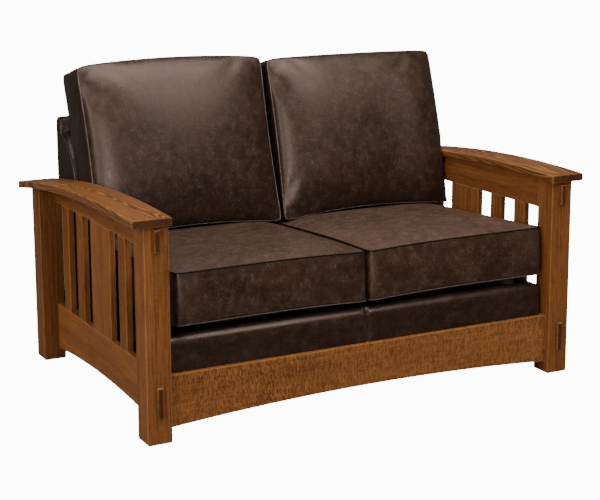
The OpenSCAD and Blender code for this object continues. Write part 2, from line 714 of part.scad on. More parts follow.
// Back frame: a leaning pad on a wooden frame, with a narrow roll along its top

back_half = inner_x - arm_in - back_side_gap;
frame_half = back_half - leather_t;
stile_in = frame_half - stile_t;
back_rear_y = rear_y - back_inset;
knee_z = back_top - knee_drop;
bulge_z = back_top - bulge_drop;
panel_y = back_rear_y - panel_t;
plane_gap = rest_gap / cos(back_lean);
plane_y0 = front_y + back_y + foot_run + plane_gap;
plane_z0 = back_z - back_t * sin(back_lean);

// The plane that the back cushions lean on
function plane_y(z) = plane_y0 + (z - plane_z0) * tan(back_lean);

// Front line of the pad, from its foot to its top: at the sides, then in the middle
roll_y = back_rear_y - top_depth;
roll_r = 12;
curve_steps = 10;
function pad_line(turn_z, handle, shelf_z, shelf_y) = let (
    p0 = [plane_y(turn_z), turn_z],
    p1 = [plane_y(turn_z + handle), turn_z + handle],
    p3 = [shelf_y, shelf_z],
    p2 = [shelf_y - handle * 0.75, shelf_z - handle * 0.1])
    concat([for (z = [rail_top, (rail_top + turn_z) / 2]) [plane_y(z), z]],
        [for (i = [0 : curve_steps]) bezier(p0, p1, p2, p3, i / curve_steps)],
        arc([shelf_y + roll_r, back_top - roll_r], roll_r, 180, 90, 3), [[panel_y, back_top]]);
side_line = pad_line(knee_z, 60, back_top - 45, roll_y);
middle_line = pad_line(bulge_z, 40, back_top - roll_r - 4, roll_y - roll_r);
line_n = len(side_line);

// The pad's line at x, which changes from the side's to the middle's over a share of the width
blend_w = 150;
function pad_at(x) = let (t = min(1, max(0, (frame_half - abs(x)) / blend_w)), b = sin(90 * t))
    [for (i = [0 : line_n - 1]) side_line[i] * (1 - b) + middle_line[i] * b];

// A line moved inwards by d: level at its foot and over its end, square to itself elsewhere
function moved_in(line, d) = [for (i = [0 : line_n - 1]) i == 0 ? line[0] + [d / cos(back_lean), 0]
    : i == line_n - 1 ? line[i] - [0, d]
    : let (a = line[i + 1] - line[i - 1], n = norm(a)) line[i] + [a[1], -a[0]] * d / n];

// Back of the foam, which the stiles follow: its top corner is square, with a slight round
pad_depth = leather_t + back_pad;
corner_r = max(roll_r - pad_depth, 1);
back_line = let (turned = moved_in(side_line, pad_depth)) concat([for (i = [0 : line_n - 6]) turned[i]],
    arc([roll_y + pad_depth + corner_r, back_top - pad_depth - corner_r], corner_r, 180, 90, 3),
    [[panel_y, back_top - pad_depth]]);
shares = [0, 0.39, 0.66, 0.79, 0.85, 0.9, 0.94, 0.98];
stations = concat([-back_half, -frame_half], [for (i = [len(shares) - 1 : -1 : 1]) -shares[i] * frame_half],
    [for (share = shares) share * frame_half], [frame_half, back_half]);

// A shell between an outer line and an inner line at each station
module loft(xs, outer, inner) {
    n = len(xs);
    m = len(outer[0]);
    pts = concat([for (j = [0 : n - 1], p = outer[j]) [xs[j], p[0], p[1]]],
        [for (j = [0 : n - 1], p = inner[j]) [xs[j], p[0], p[1]]]);
    b = n * m;
    function two(q) = [[q[0], q[1], q[2]], [q[0], q[2], q[3]]];
    polyhedron(pts, concat(
        [for (j = [0 : n - 2], i = [0 : m - 2],
            f = two([j * m + i, j * m + i + 1, (j + 1) * m + i + 1, (j + 1) * m + i])) f],
        [for (j = [0 : n - 2], i = [0 : m - 2],
            f = two([b + j * m + i, b + (j + 1) * m + i, b + (j + 1) * m + i + 1, b + j * m + i + 1])) f],
        [for (j = [0 : n - 2], f = concat(two([j * m, (j + 1) * m, b + (j + 1) * m, b + j * m]),
            two([j * m + m - 1, b + j * m + m - 1, b + (j + 1) * m + m - 1, (j + 1) * m + m - 1]))) f],
        [for (i = [0 : m - 2], f = concat(two([i, b + i, b + i + 1, i + 1]),
            two([b - m + i, b - m + i + 1, 2 * b - m + i + 1, 2 * b - m + i]))) f]));
}

module back_leather() leather()
    loft(stations, [for (x = stations) pad_at(x)], [for (x = stations) moved_in(pad_at(x), leather_t)]);

pad_stations = [for (j = [1 : len(stations) - 2]) stations[j]];
module back_foam() foam()
    loft(pad_stations, [for (x = pad_stations) moved_in(pad_at(x), leather_t)],
        [for (x = pad_stations) back_line]);

// The side pieces follow the side's line behind the foam
module back_stile(s) inner_wood() at_side(s)
    translate([stile_in + stile_t / 2, 0, 0]) along_x(stile_t, concat(back_line, [[panel_y, rail_top]]));

module back_side_leather(s) leather() at_side(s)
    translate([frame_half + leather_t / 2, 0, 0])
        along_x(leather_t, concat(moved_in(side_line, leather_t), [[panel_y, rail_top]]));

// A cross rail that leans with the pad, from z0 up, behind the webbing
function behind_pad(z) = plane_y(z) + (pad_depth + strap_t) / cos(back_lean);
webbing_top = knee_z - back_pad;
module leaning_rail(z0) along_x(2 * stile_in, [[behind_pad(z0), z0], [behind_pad(z0) + cross_t, z0],
    [behind_pad(z0 + cross_h) + cross_t, z0 + cross_h], [behind_pad(z0 + cross_h), z0 + cross_h]]);

module back_bottom_rail() inner_wood() leaning_rail(rail_top);
module back_middle_rail() inner_wood() leaning_rail(webbing_top - cross_h);

top_rail_t = top_depth - pad_depth - panel_t;
top_rail_z = back_top - pad_depth - cross_h;
module back_top_rail() inner_wood() {
    front = panel_y - top_rail_t;
    top = top_rail_z + cross_h;
    along_x(2 * stile_in, [[front, top_rail_z], [panel_y, top_rail_z], [panel_y, top],
        [front + corner_r, top], [front, top - corner_r]]);
}

module back_centre_stile() inner_wood()
    translate([-bar_w, panel_y - top_rail_t, rail_top]) cube([2 * bar_w, top_rail_t, top_rail_z - rail_top]);

module back_webbing() color([0.55, 0.5, 0.42])
    for (k = [0 : straps - 1]) translate([(k + 0.5 - straps / 2) * 2 * stile_in / straps, 0, 0]) {
        thick = strap_t / cos(back_lean);
        along_x(strap_w, [[behind_pad(rail_top) - thick, rail_top], [behind_pad(rail_top), rail_top],
            [behind_pad(webbing_top), webbing_top], [behind_pad(webbing_top) - thick, webbing_top]]);
    }

module outside_back() leather()
    translate([-back_half, panel_y, rail_top]) cube([2 * back_half, panel_t, back_top - rail_top]);

// Blocks on the rear posts that the back frame is screwed to
hanger_z = rail_top + cleat_h;
hanger_y = rear_y - post_w + foot_chamfer;
module back_hangers() inner_wood() for (s = [-1, 1]) at_side(s)
    translate([back_half, hanger_y, hanger_z])
        cube([inner_x - back_half, back_rear_y - hanger_y - foot_chamfer, upper_rail_z - hanger_z]);

// What is drawn for each name

front_post(-1);  // front_post_left
front_post(1);  // front_post_right
rear_post(-1);  // rear_post_left
rear_post(1);  // rear_post_right
arm_board(-1);  // arm_board_left
arm_board(1);  // arm_board_right
upper_side_rail(-1);  // upper_side_rail_left
upper_side_rail(1);  // upper_side_rail_right
lower_side_rail(-1);  // lower_side_rail_left
lower_side_rail(1);  // lower_side_rail_right
for (i = [1 : 5]) {
    side_slat(-1, i - 1);
    side_slat(1, i - 1);
}
front_rail();
rear_rail();
lower_tenon_end(-1);  // lower_tenon_end_left
lower_tenon_end(1);  // lower_tenon_end_right
upper_tenon_end(-1);  // upper_tenon_end_left
upper_tenon_end(1);  // upper_tenon_end_right
corner_blocks();
block_screws();
deck_cleat(-1);  // deck_cleat_left
deck_cleat(1);  // deck_cleat_right
front_cleat();
rear_cleat();
deck_front_bar();
deck_rear_bar();
deck_side_bars();
deck_centre_bar();
seat_springs(-1);  // seat_springs_left
seat_springs(1);  // seat_springs_right
spring_clips();
deck_felt();
deck_foam();
deck_leather();
deck_dust_cloth();
back_stile(-1);  // back_stile_left
back_stile(1);  // back_stile_right
back_centre_stile();
back_top_rail();
back_middle_rail();
back_bottom_rail();
back_webbing();
back_foam();
back_leather();
back_side_leather(-1);  // back_side_leather_left
back_side_leather(1);  // back_side_leather_right
outside_back();
back_hangers();
seat_cushion(-1);  // seat_cushion_left
seat_cushion(1);  // seat_cushion_right
back_cushion(-1);  // back_cushion_left
back_cushion(1);  // back_cushion_right
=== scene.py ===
import math

import bmesh
import bpy
from mathutils import Matrix, Vector, noise


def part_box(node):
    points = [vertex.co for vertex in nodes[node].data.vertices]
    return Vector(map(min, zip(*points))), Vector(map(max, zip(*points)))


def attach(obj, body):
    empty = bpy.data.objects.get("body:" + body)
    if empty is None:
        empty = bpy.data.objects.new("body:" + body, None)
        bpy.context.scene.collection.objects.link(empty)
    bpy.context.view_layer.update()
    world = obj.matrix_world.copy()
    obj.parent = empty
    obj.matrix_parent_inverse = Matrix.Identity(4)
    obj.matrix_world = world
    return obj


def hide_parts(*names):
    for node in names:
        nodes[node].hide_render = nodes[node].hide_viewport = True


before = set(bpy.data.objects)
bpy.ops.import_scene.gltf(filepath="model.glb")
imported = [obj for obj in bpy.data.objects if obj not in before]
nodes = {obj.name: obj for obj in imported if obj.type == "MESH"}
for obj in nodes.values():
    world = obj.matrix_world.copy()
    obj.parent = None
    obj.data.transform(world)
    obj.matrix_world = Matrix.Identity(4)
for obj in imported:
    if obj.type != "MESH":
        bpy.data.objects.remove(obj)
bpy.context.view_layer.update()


# Front and rear posts
# Four square oak legs, quarter-sawn, stained and rubbed with a satin varnish. Their grain runs upright,
# and their eased edges are painted paler: partly stain worn thin there, partly a painted highlight.

def add(tree, kind, sockets=None, **settings):
    """A shader node with its settings; each socket gets a value or a link from another node's output."""
    node = tree.nodes.new("ShaderNode" + kind)
    for name, value in settings.items():
        setattr(node, name, value)
    for name, value in (sockets or {}).items():
        if isinstance(value, bpy.types.NodeSocket):
            tree.links.new(value, node.inputs[name])
        else:
            node.inputs[name].default_value = value
    return node


def shader_group(name, inputs, outputs):
    """An empty node group with named sockets: the tree, what comes in, and what goes out."""
    tree = bpy.data.node_groups.new(name, "ShaderNodeTree")
    for label, kind in inputs:
        tree.interface.new_socket(label, in_out="INPUT", socket_type="NodeSocket" + kind)
    for label, kind in outputs:
        tree.interface.new_socket(label, in_out="OUTPUT", socket_type="NodeSocket" + kind)
    return tree, tree.nodes.new("NodeGroupInput").outputs, tree.nodes.new("NodeGroupOutput").inputs


def stretched(tree, vector, scale):
    """The vector with each axis scaled, so that a pattern on it is drawn out along the small ones."""
    return add(tree, "VectorMath", {0: vector, 1: scale}, operation="MULTIPLY").outputs[0]


def cloud(tree, vector, scale, detail=3.0, rough=0.5, distortion=0.0):
    """Soft noise on a vector."""
    return add(tree, "TexNoise", {"Vector": vector, "Scale": scale, "Detail": detail,
                                  "Roughness": rough, "Distortion": distortion}).outputs[0]


def ramp(tree, value, low, high, to_low=0.0, to_high=1.0):
    """The value, taken from low..high to another span, clamped."""
    return add(tree, "MapRange", {0: value, 1: low, 2: high, 3: to_low, 4: to_high}).outputs[0]


def times(tree, a, b):
    """Two values multiplied."""
    return add(tree, "Math", {0: a, 1: b}, operation="MULTIPLY").outputs[0]


def blended(tree, factor, a, b, mode="MIX"):
    """Colour a turned into b by factor."""
    return add(tree, "Mix", {0: factor, 6: a, 7: b}, data_type="RGBA", blend_type=mode).outputs[2]


def oak_group():
    """Oak with its grain along Z: growth lines, bands, pores, ray fleck and, by Cathedral, arched rings."""
    tree, given, result = shader_group("quarter_sawn_oak", [
        ("Vector", "Vector"), ("Pale", "Color"), ("Dark", "Color"), ("Line", "Color"),
        ("Fleck colour", "Color"), ("Fleck", "Float"), ("Streak", "Float"), ("Cathedral", "Float")],
        [("Colour", "Color"), ("Roughness", "Float"), ("Height", "Float")])
    at = given["Vector"]
    bands = cloud(tree, stretched(tree, at, (14, 14, 0.9)), 1.0, 3.0, 0.55, 0.6)
    lines = cloud(tree, stretched(tree, at, (150, 150, 2.4)), 1.0, 4.0, 0.6, 0.35)
    fibres = cloud(tree, stretched(tree, at, (290, 290, 13)), 1.0, 3.0, 0.55, 0.2)
    pores = cloud(tree, stretched(tree, at, (620, 620, 26)), 1.0, 2.0, 0.5)
    rays = cloud(tree, stretched(tree, at, (60, 60, 230)), 1.0, 3.0, 0.55, 1.1)
    patches = cloud(tree, stretched(tree, at, (8, 8, 4)), 1.0, 2.0, 0.5)
    field = cloud(tree, stretched(tree, at, (7, 7, 1.1)), 1.0, 1.5, 0.4, 0.2)
    rings = add(tree, "Math", {0: times(tree, field, 250.0)}, operation="SINE").outputs[0]
    body = blended(tree, ramp(tree, bands, 0.30, 0.70), given["Dark"], given["Pale"])
    streak = times(tree, ramp(tree, lines, 0.50, 0.28, 0.0, 0.62), given["Streak"])
    fibred = blended(tree, ramp(tree, fibres, 0.36, 0.60, 0.42, 0.0), body, given["Line"])
    lined = blended(tree, streak, fibred, given["Line"])
    fleck = times(tree, times(tree, ramp(tree, rays, 0.49, 0.57), ramp(tree, patches, 0.30, 0.55, 0.6)),
                  given["Fleck"])
    flecked = blended(tree, times(tree, fleck, 0.6), lined, given["Fleck colour"])
    shade = times(tree, times(tree, ramp(tree, rays, 0.48, 0.40), ramp(tree, patches, 0.30, 0.55, 0.6)),
                  given["Fleck"])
    dimmed = blended(tree, times(tree, shade, 0.42), flecked, given["Line"])
    early = times(tree, ramp(tree, rings, -0.55, -0.95), given["Cathedral"])
    opened = blended(tree, times(tree, early, 0.8), dimmed, given["Fleck colour"])
    late = times(tree, ramp(tree, rings, 0.50, 0.95), given["Cathedral"])
    shaded = blended(tree, times(tree, late, 0.5), opened, given["Line"])
    pore = ramp(tree, pores, 0.40, 0.31)
    tree.links.new(blended(tree, times(tree, pore, 0.4), shaded, given["Line"]), result["Colour"])
    tree.links.new(ramp(tree, fleck, 0.0, 1.0, 0.40, 0.30), result["Roughness"])
    height = add(tree, "Math", {0: times(tree, lines, 0.35), 1: times(tree, pore, -0.8)}, operation="ADD")
    tree.links.new(height.outputs[0], result["Height"])
    return tree


quarter_sawn = oak_group()
GRAIN_TURN = {"x": (0, math.pi / 2, 0), "y": (math.pi / 2, 0, 0), "z": (0, 0, 0)}
OAK_PALE = (0.2205, 0.0821, 0.0236, 1)
OAK_DARK = (0.1300, 0.0432, 0.0121, 1)
OAK_LINE = (0.0312, 0.0097, 0.0034, 1)
OAK_FLECK = (0.2808, 0.1188, 0.0378, 1)
OAK_WORN_AND_LIT = (0.330, 0.150, 0.052, 1)
OAK_END = (0.046, 0.0155, 0.0060, 1)


def principled(tree, sockets):
    """The material's surface."""
    shader = add(tree, "BsdfPrincipled", sockets)
    out = tree.nodes.new("ShaderNodeOutputMaterial")
    tree.links.new(shader.outputs[0], out.inputs[0])


def new_material(name):
    """A material and its empty node tree."""
    material = bpy.data.materials.new(name)
    material.use_nodes = True
    material.node_tree.nodes.clear()
    return material, material.node_tree


def placed(tree, shift=(0, 0, 0), turn=(0, 0, 0)):
    """Object coordinates, shifted and turned, so that two pieces don't show the same stretch of a pattern."""
    at = add(tree, "TexCoord").outputs["Object"]
    return add(tree, "Mapping", {"Vector": at, "Location": shift, "Rotation": turn}).outputs[0]


def facing(tree, axis):
    """How far a surface faces along the piece's x, y or z, from -1 to 1."""
    normal = add(tree, "TexCoord").outputs["Normal"]
    return add(tree, "SeparateXYZ", {"Vector": normal}).outputs["xyz".index(axis)]


def scaled(colour, share):
    """The colour made darker or lighter, still opaque."""
    return tuple(c * share for c in colour[:3]) + (1,)


def oak(name, along, seed, tone, fleck, streak, cathedral=0.0, gloss=0.12):
    """Stained and varnished oak whose grain runs along x, y or z, with darker end grain and paler edges,
    partly worn and partly a painted highlight.
    """
    material, tree = new_material(name)
    at = placed(tree, (seed * 0.37 % 3.1, seed * 0.83 % 2.7, seed * 0.59 % 3.3), GRAIN_TURN[along])
    wood = add(tree, "Group", {}, node_tree=quarter_sawn)
    tree.links.new(at, wood.inputs["Vector"])
    for socket, value in (("Pale", scaled(OAK_PALE, tone)), ("Dark", scaled(OAK_DARK, tone)),
                          ("Line", scaled(OAK_LINE, tone)), ("Fleck colour", scaled(OAK_FLECK, tone)),
                          ("Fleck", fleck), ("Streak", streak), ("Cathedral", cathedral)):
        wood.inputs[socket].default_value = value
    bump = add(tree, "Bump", {"Height": wood.outputs["Height"], "Strength": 0.25, "Distance": 0.0006})
    end = add(tree, "Math", {0: facing(tree, along)}, operation="ABSOLUTE").outputs[0]
    ended = blended(tree, ramp(tree, end, 0.80, 0.97, 0.0, 0.8), wood.outputs["Colour"],
                    scaled(OAK_END, tone))
    # Eased edges turn paler: partly the stain worn thin there, partly a painted highlight along each edge.
    eased = add(tree, "Bevel", {"Radius": 0.0045}, samples=4).outputs[0]
    flat = add(tree, "NewGeometry").outputs["True Normal"]
    level = add(tree, "VectorMath", {0: eased, 1: flat}, operation="DOT_PRODUCT").outputs["Value"]
    wear_and_light = times(tree, ramp(tree, level, 0.998, 0.93, 0.0, 0.8),
                 ramp(tree, cloud(tree, at, 30.0), 0.3, 0.6, 0.35, 1.0))
    lit_worn_edge = times(tree, wear_and_light, ramp(tree, end, 0.80, 0.97, 1.0, 0.3))
    colour = blended(tree, lit_worn_edge, ended, scaled(OAK_WORN_AND_LIT, tone))
    principled(tree, {"Base Color": colour, "Roughness": wood.outputs["Roughness"],
                      "Normal": bump.outputs[0], "Specular IOR Level": gloss,
                      "Specular Tint": (1.0, 0.72, 0.45, 1)})
    return material


def finish_node(name, material):
    """A CAD node keeps its shape and gets this finish."""
    mesh = nodes[name].data
    mesh.materials.clear()
    mesh.materials.append(material)


SIDES = (("left", -1), ("right", 1))
for i, name in enumerate(f"{end}_post_{side}" for end in ("front", "rear") for side, _ in SIDES):
    finish_node(name, oak(f"oak_post_{i}", "z", seed=3 + 2 * i, tone=1.09, fleck=0.16, streak=0.9))


# Front and rear rails
# Deep arched boards, tenoned into the posts. They are the best quarter-sawn boards of the frame, with
# a dense ray fleck that crosses the grain in short upright ribbons.

finish_node("front_rail", oak("oak_front_rail", "x", seed=21, tone=1.09, fleck=0.90, streak=0.25))
finish_node("rear_rail", oak("oak_rear_rail", "x", seed=25, tone=1.0, fleck=0.7, streak=0.5))


# Side panels
# On each side an arched lower rail and a plain upper one, with four narrow slats and a wide one between
# them, tongued into both rails.

for i, (side, _) in enumerate(SIDES):
    # The rails and most slats get a lighter tone than the posts, the lower rail most: painted light, for the
    # light that falls on the side panels. The slats' tones also differ one from another.
    lower_oak = oak(f"oak_lower_rail_{side}", "y", seed=31 + i, tone=1.45, fleck=0.15, streak=0.7)
    upper_oak = oak(f"oak_upper_rail_{side}", "y", seed=36 + i, tone=1.22, fleck=0.15, streak=0.8)
    finish_node(f"lower_side_rail_{side}", lower_oak)
    finish_node(f"upper_side_rail_{side}", upper_oak)
    for k, tone in enumerate((1.26, 1.12, 1.30, 1.08, 1.18), start=1):
        slat_oak = oak(f"oak_slat_{side}_{k}", "z", seed=40 + 7 * k + i, tone=tone, fleck=0.12,
                       streak=0.8)
        finish_node(f"side_slat_{side}_{k}", slat_oak)


# Tenon ends
# The bevelled ends of the rails' through tenons, proud of the front posts. They are end grain, which
# takes more stain, so they are darker and redder.

for side, sign in SIDES:
    for level in ("lower", "upper"):
        end_oak = oak(f"oak_{level}_tenon_{side}", "y", seed=90 + sign, tone=0.85, fleck=0.0, streak=1.2)
        finish_node(f"{level}_tenon_end_{side}", end_oak)


# Arm boards
# Wide plain-sawn boards with long arched figures, sawn to a bow and laid on the posts. Handling has
# rubbed them to more of a shine than the rest.

for i, (side, _) in enumerate(SIDES):
    arm_oak = oak(f"oak_arm_{side}", "y", seed=61 + 3 * i, tone=0.88, fleck=0.15, streak=0.8,
                  cathedral=1.0, gloss=0.26)
    finish_node(f"arm_board_{side}", arm_oak)


# Blocks, cleats, screws and springs
# Glued and screwed corner blocks and plain cleats of unstained secondary wood, which carry the deck and
# the back frame out of sight, and the deck's springs of oiled wire in their clips.

def inner_wood(name, along, seed):
    """Plain sawn poplar: pale, with soft brown bands and a rough surface."""
    material, tree = new_material(name)
    at = placed(tree, (seed * 0.41, seed * 0.23, seed * 0.31), GRAIN_TURN[along])
    bands = cloud(tree, stretched(tree, at, (60, 60, 1.6)), 1.0, 4.0, 0.6, 0.8)
    fuzz = cloud(tree, stretched(tree, at, (500, 500, 30)), 1.0, 2.0)
    colour = blended(tree, ramp(tree, bands, 0.35, 0.68), (0.42, 0.27, 0.13, 1), (0.62, 0.46, 0.27, 1))
    bump = add(tree, "Bump", {"Height": fuzz, "Strength": 0.3, "Distance": 0.0005})
    principled(tree, {"Base Color": colour, "Roughness": ramp(tree, fuzz, 0.3, 0.7, 0.62, 0.8),
                      "Normal": bump.outputs[0]})
    return material


along_x_wood = inner_wood("inner_wood_x", "x", seed=1)
along_y_wood = inner_wood("inner_wood_y", "y", seed=2)
upright_wood = inner_wood("inner_wood_z", "z", seed=3)
for name in ("corner_blocks", "front_cleat", "rear_cleat", "deck_front_bar", "deck_rear_bar",
             "back_top_rail", "back_middle_rail", "back_bottom_rail"):
    finish_node(name, along_x_wood)
for name in ("deck_cleat_left", "deck_cleat_right", "deck_side_bars", "deck_centre_bar"):
    finish_node(name, along_y_wood)
for name in ("back_stile_left", "back_stile_right", "back_centre_stile", "back_hangers"):
    finish_node(name, upright_wood)


def drawn_steel(name, colour, rough):
    """Drawn and oiled steel, a little uneven in its shine."""
    material, tree = new_material(name)
    at = placed(tree)
    marks = cloud(tree, at, 300.0, 3.0, 0.6)
    shade = blended(tree, ramp(tree, marks, 0.35, 0.7), colour, scaled(colour, 0.55))
    principled(tree, {"Base Color": shade, "Metallic": 1.0,
                      "Roughness": ramp(tree, marks, 0.3, 0.7, rough, rough + 0.2)})
    return material


finish_node("block_screws", drawn_steel("zinc_screw", (0.60, 0.57, 0.50, 1), rough=0.3))
spring_steel = drawn_steel("spring_wire", (0.22, 0.22, 0.23, 1), rough=0.35)
for name in ("seat_springs_left", "seat_springs_right", "spring_clips"):
    finish_node(name, spring_steel)


# Felt, foam and webbing
# What fills the deck and the back: grey felt over the springs, cut foam, and jute straps behind the
# back's pad.

def woven(name, colour, thread, rough):
    """Plain weave: threads cross at each pitch, with uneven yarn."""
    material, tree = new_material(name)
    at = placed(tree)
    bands = {"Vector": at, "Scale": 1 / (6.2 * thread), "Distortion": 0.6}
    across, up = [add(tree, "TexWave", bands, wave_type="BANDS", bands_direction=axis).outputs[1]
                  for axis in ("X", "Z")]
    weave = add(tree, "Math", {0: across, 1: up}, operation="MAXIMUM").outputs[0]
    yarn = cloud(tree, at, 400.0, 3.0, 0.6)
    shade = blended(tree, times(tree, weave, ramp(tree, yarn, 0.3, 0.7, 0.6, 1.0)),
                    scaled(colour, 0.6), colour)
    bump = add(tree, "Bump", {"Height": weave, "Strength": 0.5, "Distance": thread * 0.3})
    principled(tree, {"Base Color": shade, "Roughness": ramp(tree, yarn, 0.3, 0.7, rough, rough + 0.1),
                      "Normal": bump.outputs[0]})
    return material


def fibrous(name, pale, dark, scale, depth):
    """Felt or foam: an open, matt surface with fibres or cells of one size."""
    material, tree = new_material(name)
    at = placed(tree)
    cells = add(tree, "TexVoronoi", {"Vector": at, "Scale": scale}).outputs["Distance"]
    tint = cloud(tree, at, scale * 0.12, 3.0, 0.6)
    mixed = blended(tree, times(tree, ramp(tree, cells, 0.1, 0.7), ramp(tree, tint, 0.3, 0.7, 0.5, 1.0)),
                    dark, pale)
    bump = add(tree, "Bump", {"Height": cells, "Strength": 0.5, "Distance": depth})
    principled(tree, {"Base Color": mixed, "Roughness": ramp(tree, tint, 0.3, 0.7, 0.86, 0.96),
                      "Normal": bump.outputs[0]})
    return material


finish_node("back_webbing", woven("jute_webbing", (0.46, 0.36, 0.22, 1), thread=0.0030, rough=0.8))
felt = fibrous("cotton_felt", pale=(0.30, 0.29, 0.28, 1), dark=(0.12, 0.12, 0.12, 1), scale=500.0,
               depth=0.0012)
finish_node("deck_felt", felt)
foam = fibrous("cut_foam", pale=(0.66, 0.56, 0.33, 1), dark=(0.38, 0.31, 0.17, 1), scale=900.0,
               depth=0.0006)
for name in ("deck_foam", "back_foam"):
    finish_node(name, foam)


# Dust cloth
# Thin black cloth, stapled to the deck's bars from below. It is stretched by hand, so it hangs a few
# millimetres slack between its edges.

def linked(name, data):
    """A new object in the scene."""
    piece = bpy.data.objects.new(name, data)
    bpy.context.scene.collection.objects.link(piece)
    return piece


def from_bmesh(name, bm):
    """A new object in the scene from an edited mesh, which is then let go."""
    mesh = bpy.data.meshes.new(name)
    bm.to_mesh(mesh)
    bm.free()
    return linked(name, mesh)


def from_node(node, name, cuts=()):
    """A new object from a CAD node's mesh, merged, and cut by planes (point, normal) for more vertices."""
    bm = bmesh.new()
    bm.from_mesh(nodes[node].data)
    bmesh.ops.remove_doubles(bm, verts=bm.verts, dist=2e-5)
    bmesh.ops.dissolve_limit(bm, angle_limit=math.radians(0.6), verts=bm.verts, edges=bm.edges)
    for point, normal in cuts:
        geometry = bm.verts[:] + bm.edges[:] + bm.faces[:]
        bmesh.ops.bisect_plane(bm, geom=geometry, dist=1e-6, plane_co=point, plane_no=normal)
    return from_bmesh(name, bm)


def shade_smooth(piece, angle=math.radians(38)):
    """Smooth shading, with the edges that turn more than the angle left sharp."""
    for polygon in piece.data.polygons:
        polygon.use_smooth = True
    bm = bmesh.new()
    bm.from_mesh(piece.data)
    for edge in bm.edges:
        edge.smooth = len(edge.link_faces) == 2 and edge.calc_face_angle() < angle
    bm.to_mesh(piece.data)
    bm.free()


def carried(piece, body, slot, material, *replaced):
    """The piece rides on its body, takes the given finish, and stands for CAD nodes; slot is not used."""
    piece.data.materials.clear()
    piece.data.materials.append(material)
    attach(piece, body)
    if replaced:
        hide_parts(*replaced)


def span(low, high, step):
    """Places between low and high, about a step apart, without the two ends."""
    count = max(1, round((high - low) / step))
    return [low + (high - low) * k / count for k in range(1, count)]


def wavy(x, y, z):
    """Smooth hills and hollows, the same in each run."""
    return noise.noise(Vector((x, y, z)))


def hump(value, middle, reach):
    """One at the middle, falling away smoothly on both sides of it."""
    return math.exp(-((value - middle) / reach) ** 2)


cloth_low, cloth_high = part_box("deck_dust_cloth")
cloth_cuts = [((x, 0, 0), (1, 0, 0)) for x in span(cloth_low.x, cloth_high.x, 0.03)]
cloth_cuts += [((0, y, 0), (0, 1, 0)) for y in span(cloth_low.y, cloth_high.y, 0.03)]
dust_cloth = from_node("deck_dust_cloth", "dust_cloth", cloth_cuts)
for vertex in dust_cloth.data.vertices:
    p = vertex.co
    u = 2 * (p.x - cloth_low.x) / (cloth_high.x - cloth_low.x) - 1
    v = 2 * (p.y - cloth_low.y) / (cloth_high.y - cloth_low.y) - 1
    slack = max(0.0, (1 - u ** 4) * (1 - v * v))
    hang = slack * (0.005 + 0.003 * wavy(p.x * 5, p.y * 5, 0))
    vertex.co = p - Vector((0, 0, hang))
shade_smooth(dust_cloth)
spun_black = woven("spun_dust_cloth", (0.022, 0.022, 0.024, 1), thread=0.0012, rough=0.8)
carried(dust_cloth, "frame", "dust_cloth", spun_black, "deck_dust_cloth")


# Deck cover
# The seat deck's leather, pulled over a rolled front edge and tacked behind the front rail. It is sewn
# from two hides, with a seam up the middle of its front and a row of stitches on each side of the seam.

def hide_group():
    """Distressed, waxed leather: rubbed clouds, pale scratches, a pebbled grain and soft creases."""
    tree, given, result = shader_group("distressed_hide", [
        ("Vector", "Vector"), ("Hide", "Color"), ("Rubbed", "Color"), ("Scratch", "Color"),
        ("Wear", "Float")],
        [("Colour", "Color"), ("Roughness", "Float"), ("Height", "Float")])
    at = given["Vector"]
    clouds = cloud(tree, at, 6.5, 5.0, 0.62, 0.9)
    blotches = cloud(tree, at, 34.0, 6.0, 0.66, 0.4)
    fine = cloud(tree, at, 210.0, 3.0, 0.6)
    scuff_lines = cloud(tree, at, 30.0, 6.0, 0.66, 2.2)
    scuffs = add(tree, "Math", {0: scuff_lines, 1: 0.5}, operation="SUBTRACT").outputs[0]
    near = add(tree, "Math", {0: scuffs}, operation="ABSOLUTE").outputs[0]
    scuff = times(tree, ramp(tree, near, 0.014, 0.002), ramp(tree, blotches, 0.47, 0.60))
    rubbed = times(tree, add(tree, "Math", {0: ramp(tree, clouds, 0.36, 0.72, 0.0, 0.65),
                                            1: ramp(tree, blotches, 0.38, 0.74, 0.0, 0.50)},
                             operation="ADD").outputs[0], given["Wear"])
    body = blended(tree, rubbed, given["Hide"], given["Rubbed"])
    specked = blended(tree, times(tree, ramp(tree, fine, 0.46, 0.62), 0.4), body, given["Rubbed"])
    scuffed = blended(tree, times(tree, scuff, times(tree, given["Wear"], 0.6)), specked, given["Scratch"])
    pits = blended(tree, ramp(tree, fine, 0.46, 0.34, 0.0, 0.35), scuffed, (0.004, 0.0022, 0.0014, 1))
    tree.links.new(pits, result["Colour"])
    tree.links.new(ramp(tree, blotches, 0.3, 0.72, 0.32, 0.46), result["Roughness"])
    pebble = add(tree, "TexVoronoi", {"Vector": at, "Scale": 620.0}, feature="SMOOTH_F1").outputs["Distance"]
    crease = cloud(tree, at, 60.0, 5.0, 0.6, 0.5)
    height = add(tree, "Math", {0: times(tree, pebble, -0.25), 1: times(tree, crease, 1.0)}, operation="ADD")
    tree.links.new(height.outputs[0], result["Height"])
    return tree


distressed_hide = hide_group()
HIDE = (0.0080, 0.0030, 0.0015, 1)
HIDE_RUBBED = (0.0320, 0.0158, 0.0092, 1)
HIDE_SCRATCH = (0.105, 0.074, 0.054, 1)
HIDE_TOP_SHEEN = (0.022, 0.0145, 0.0115, 1)


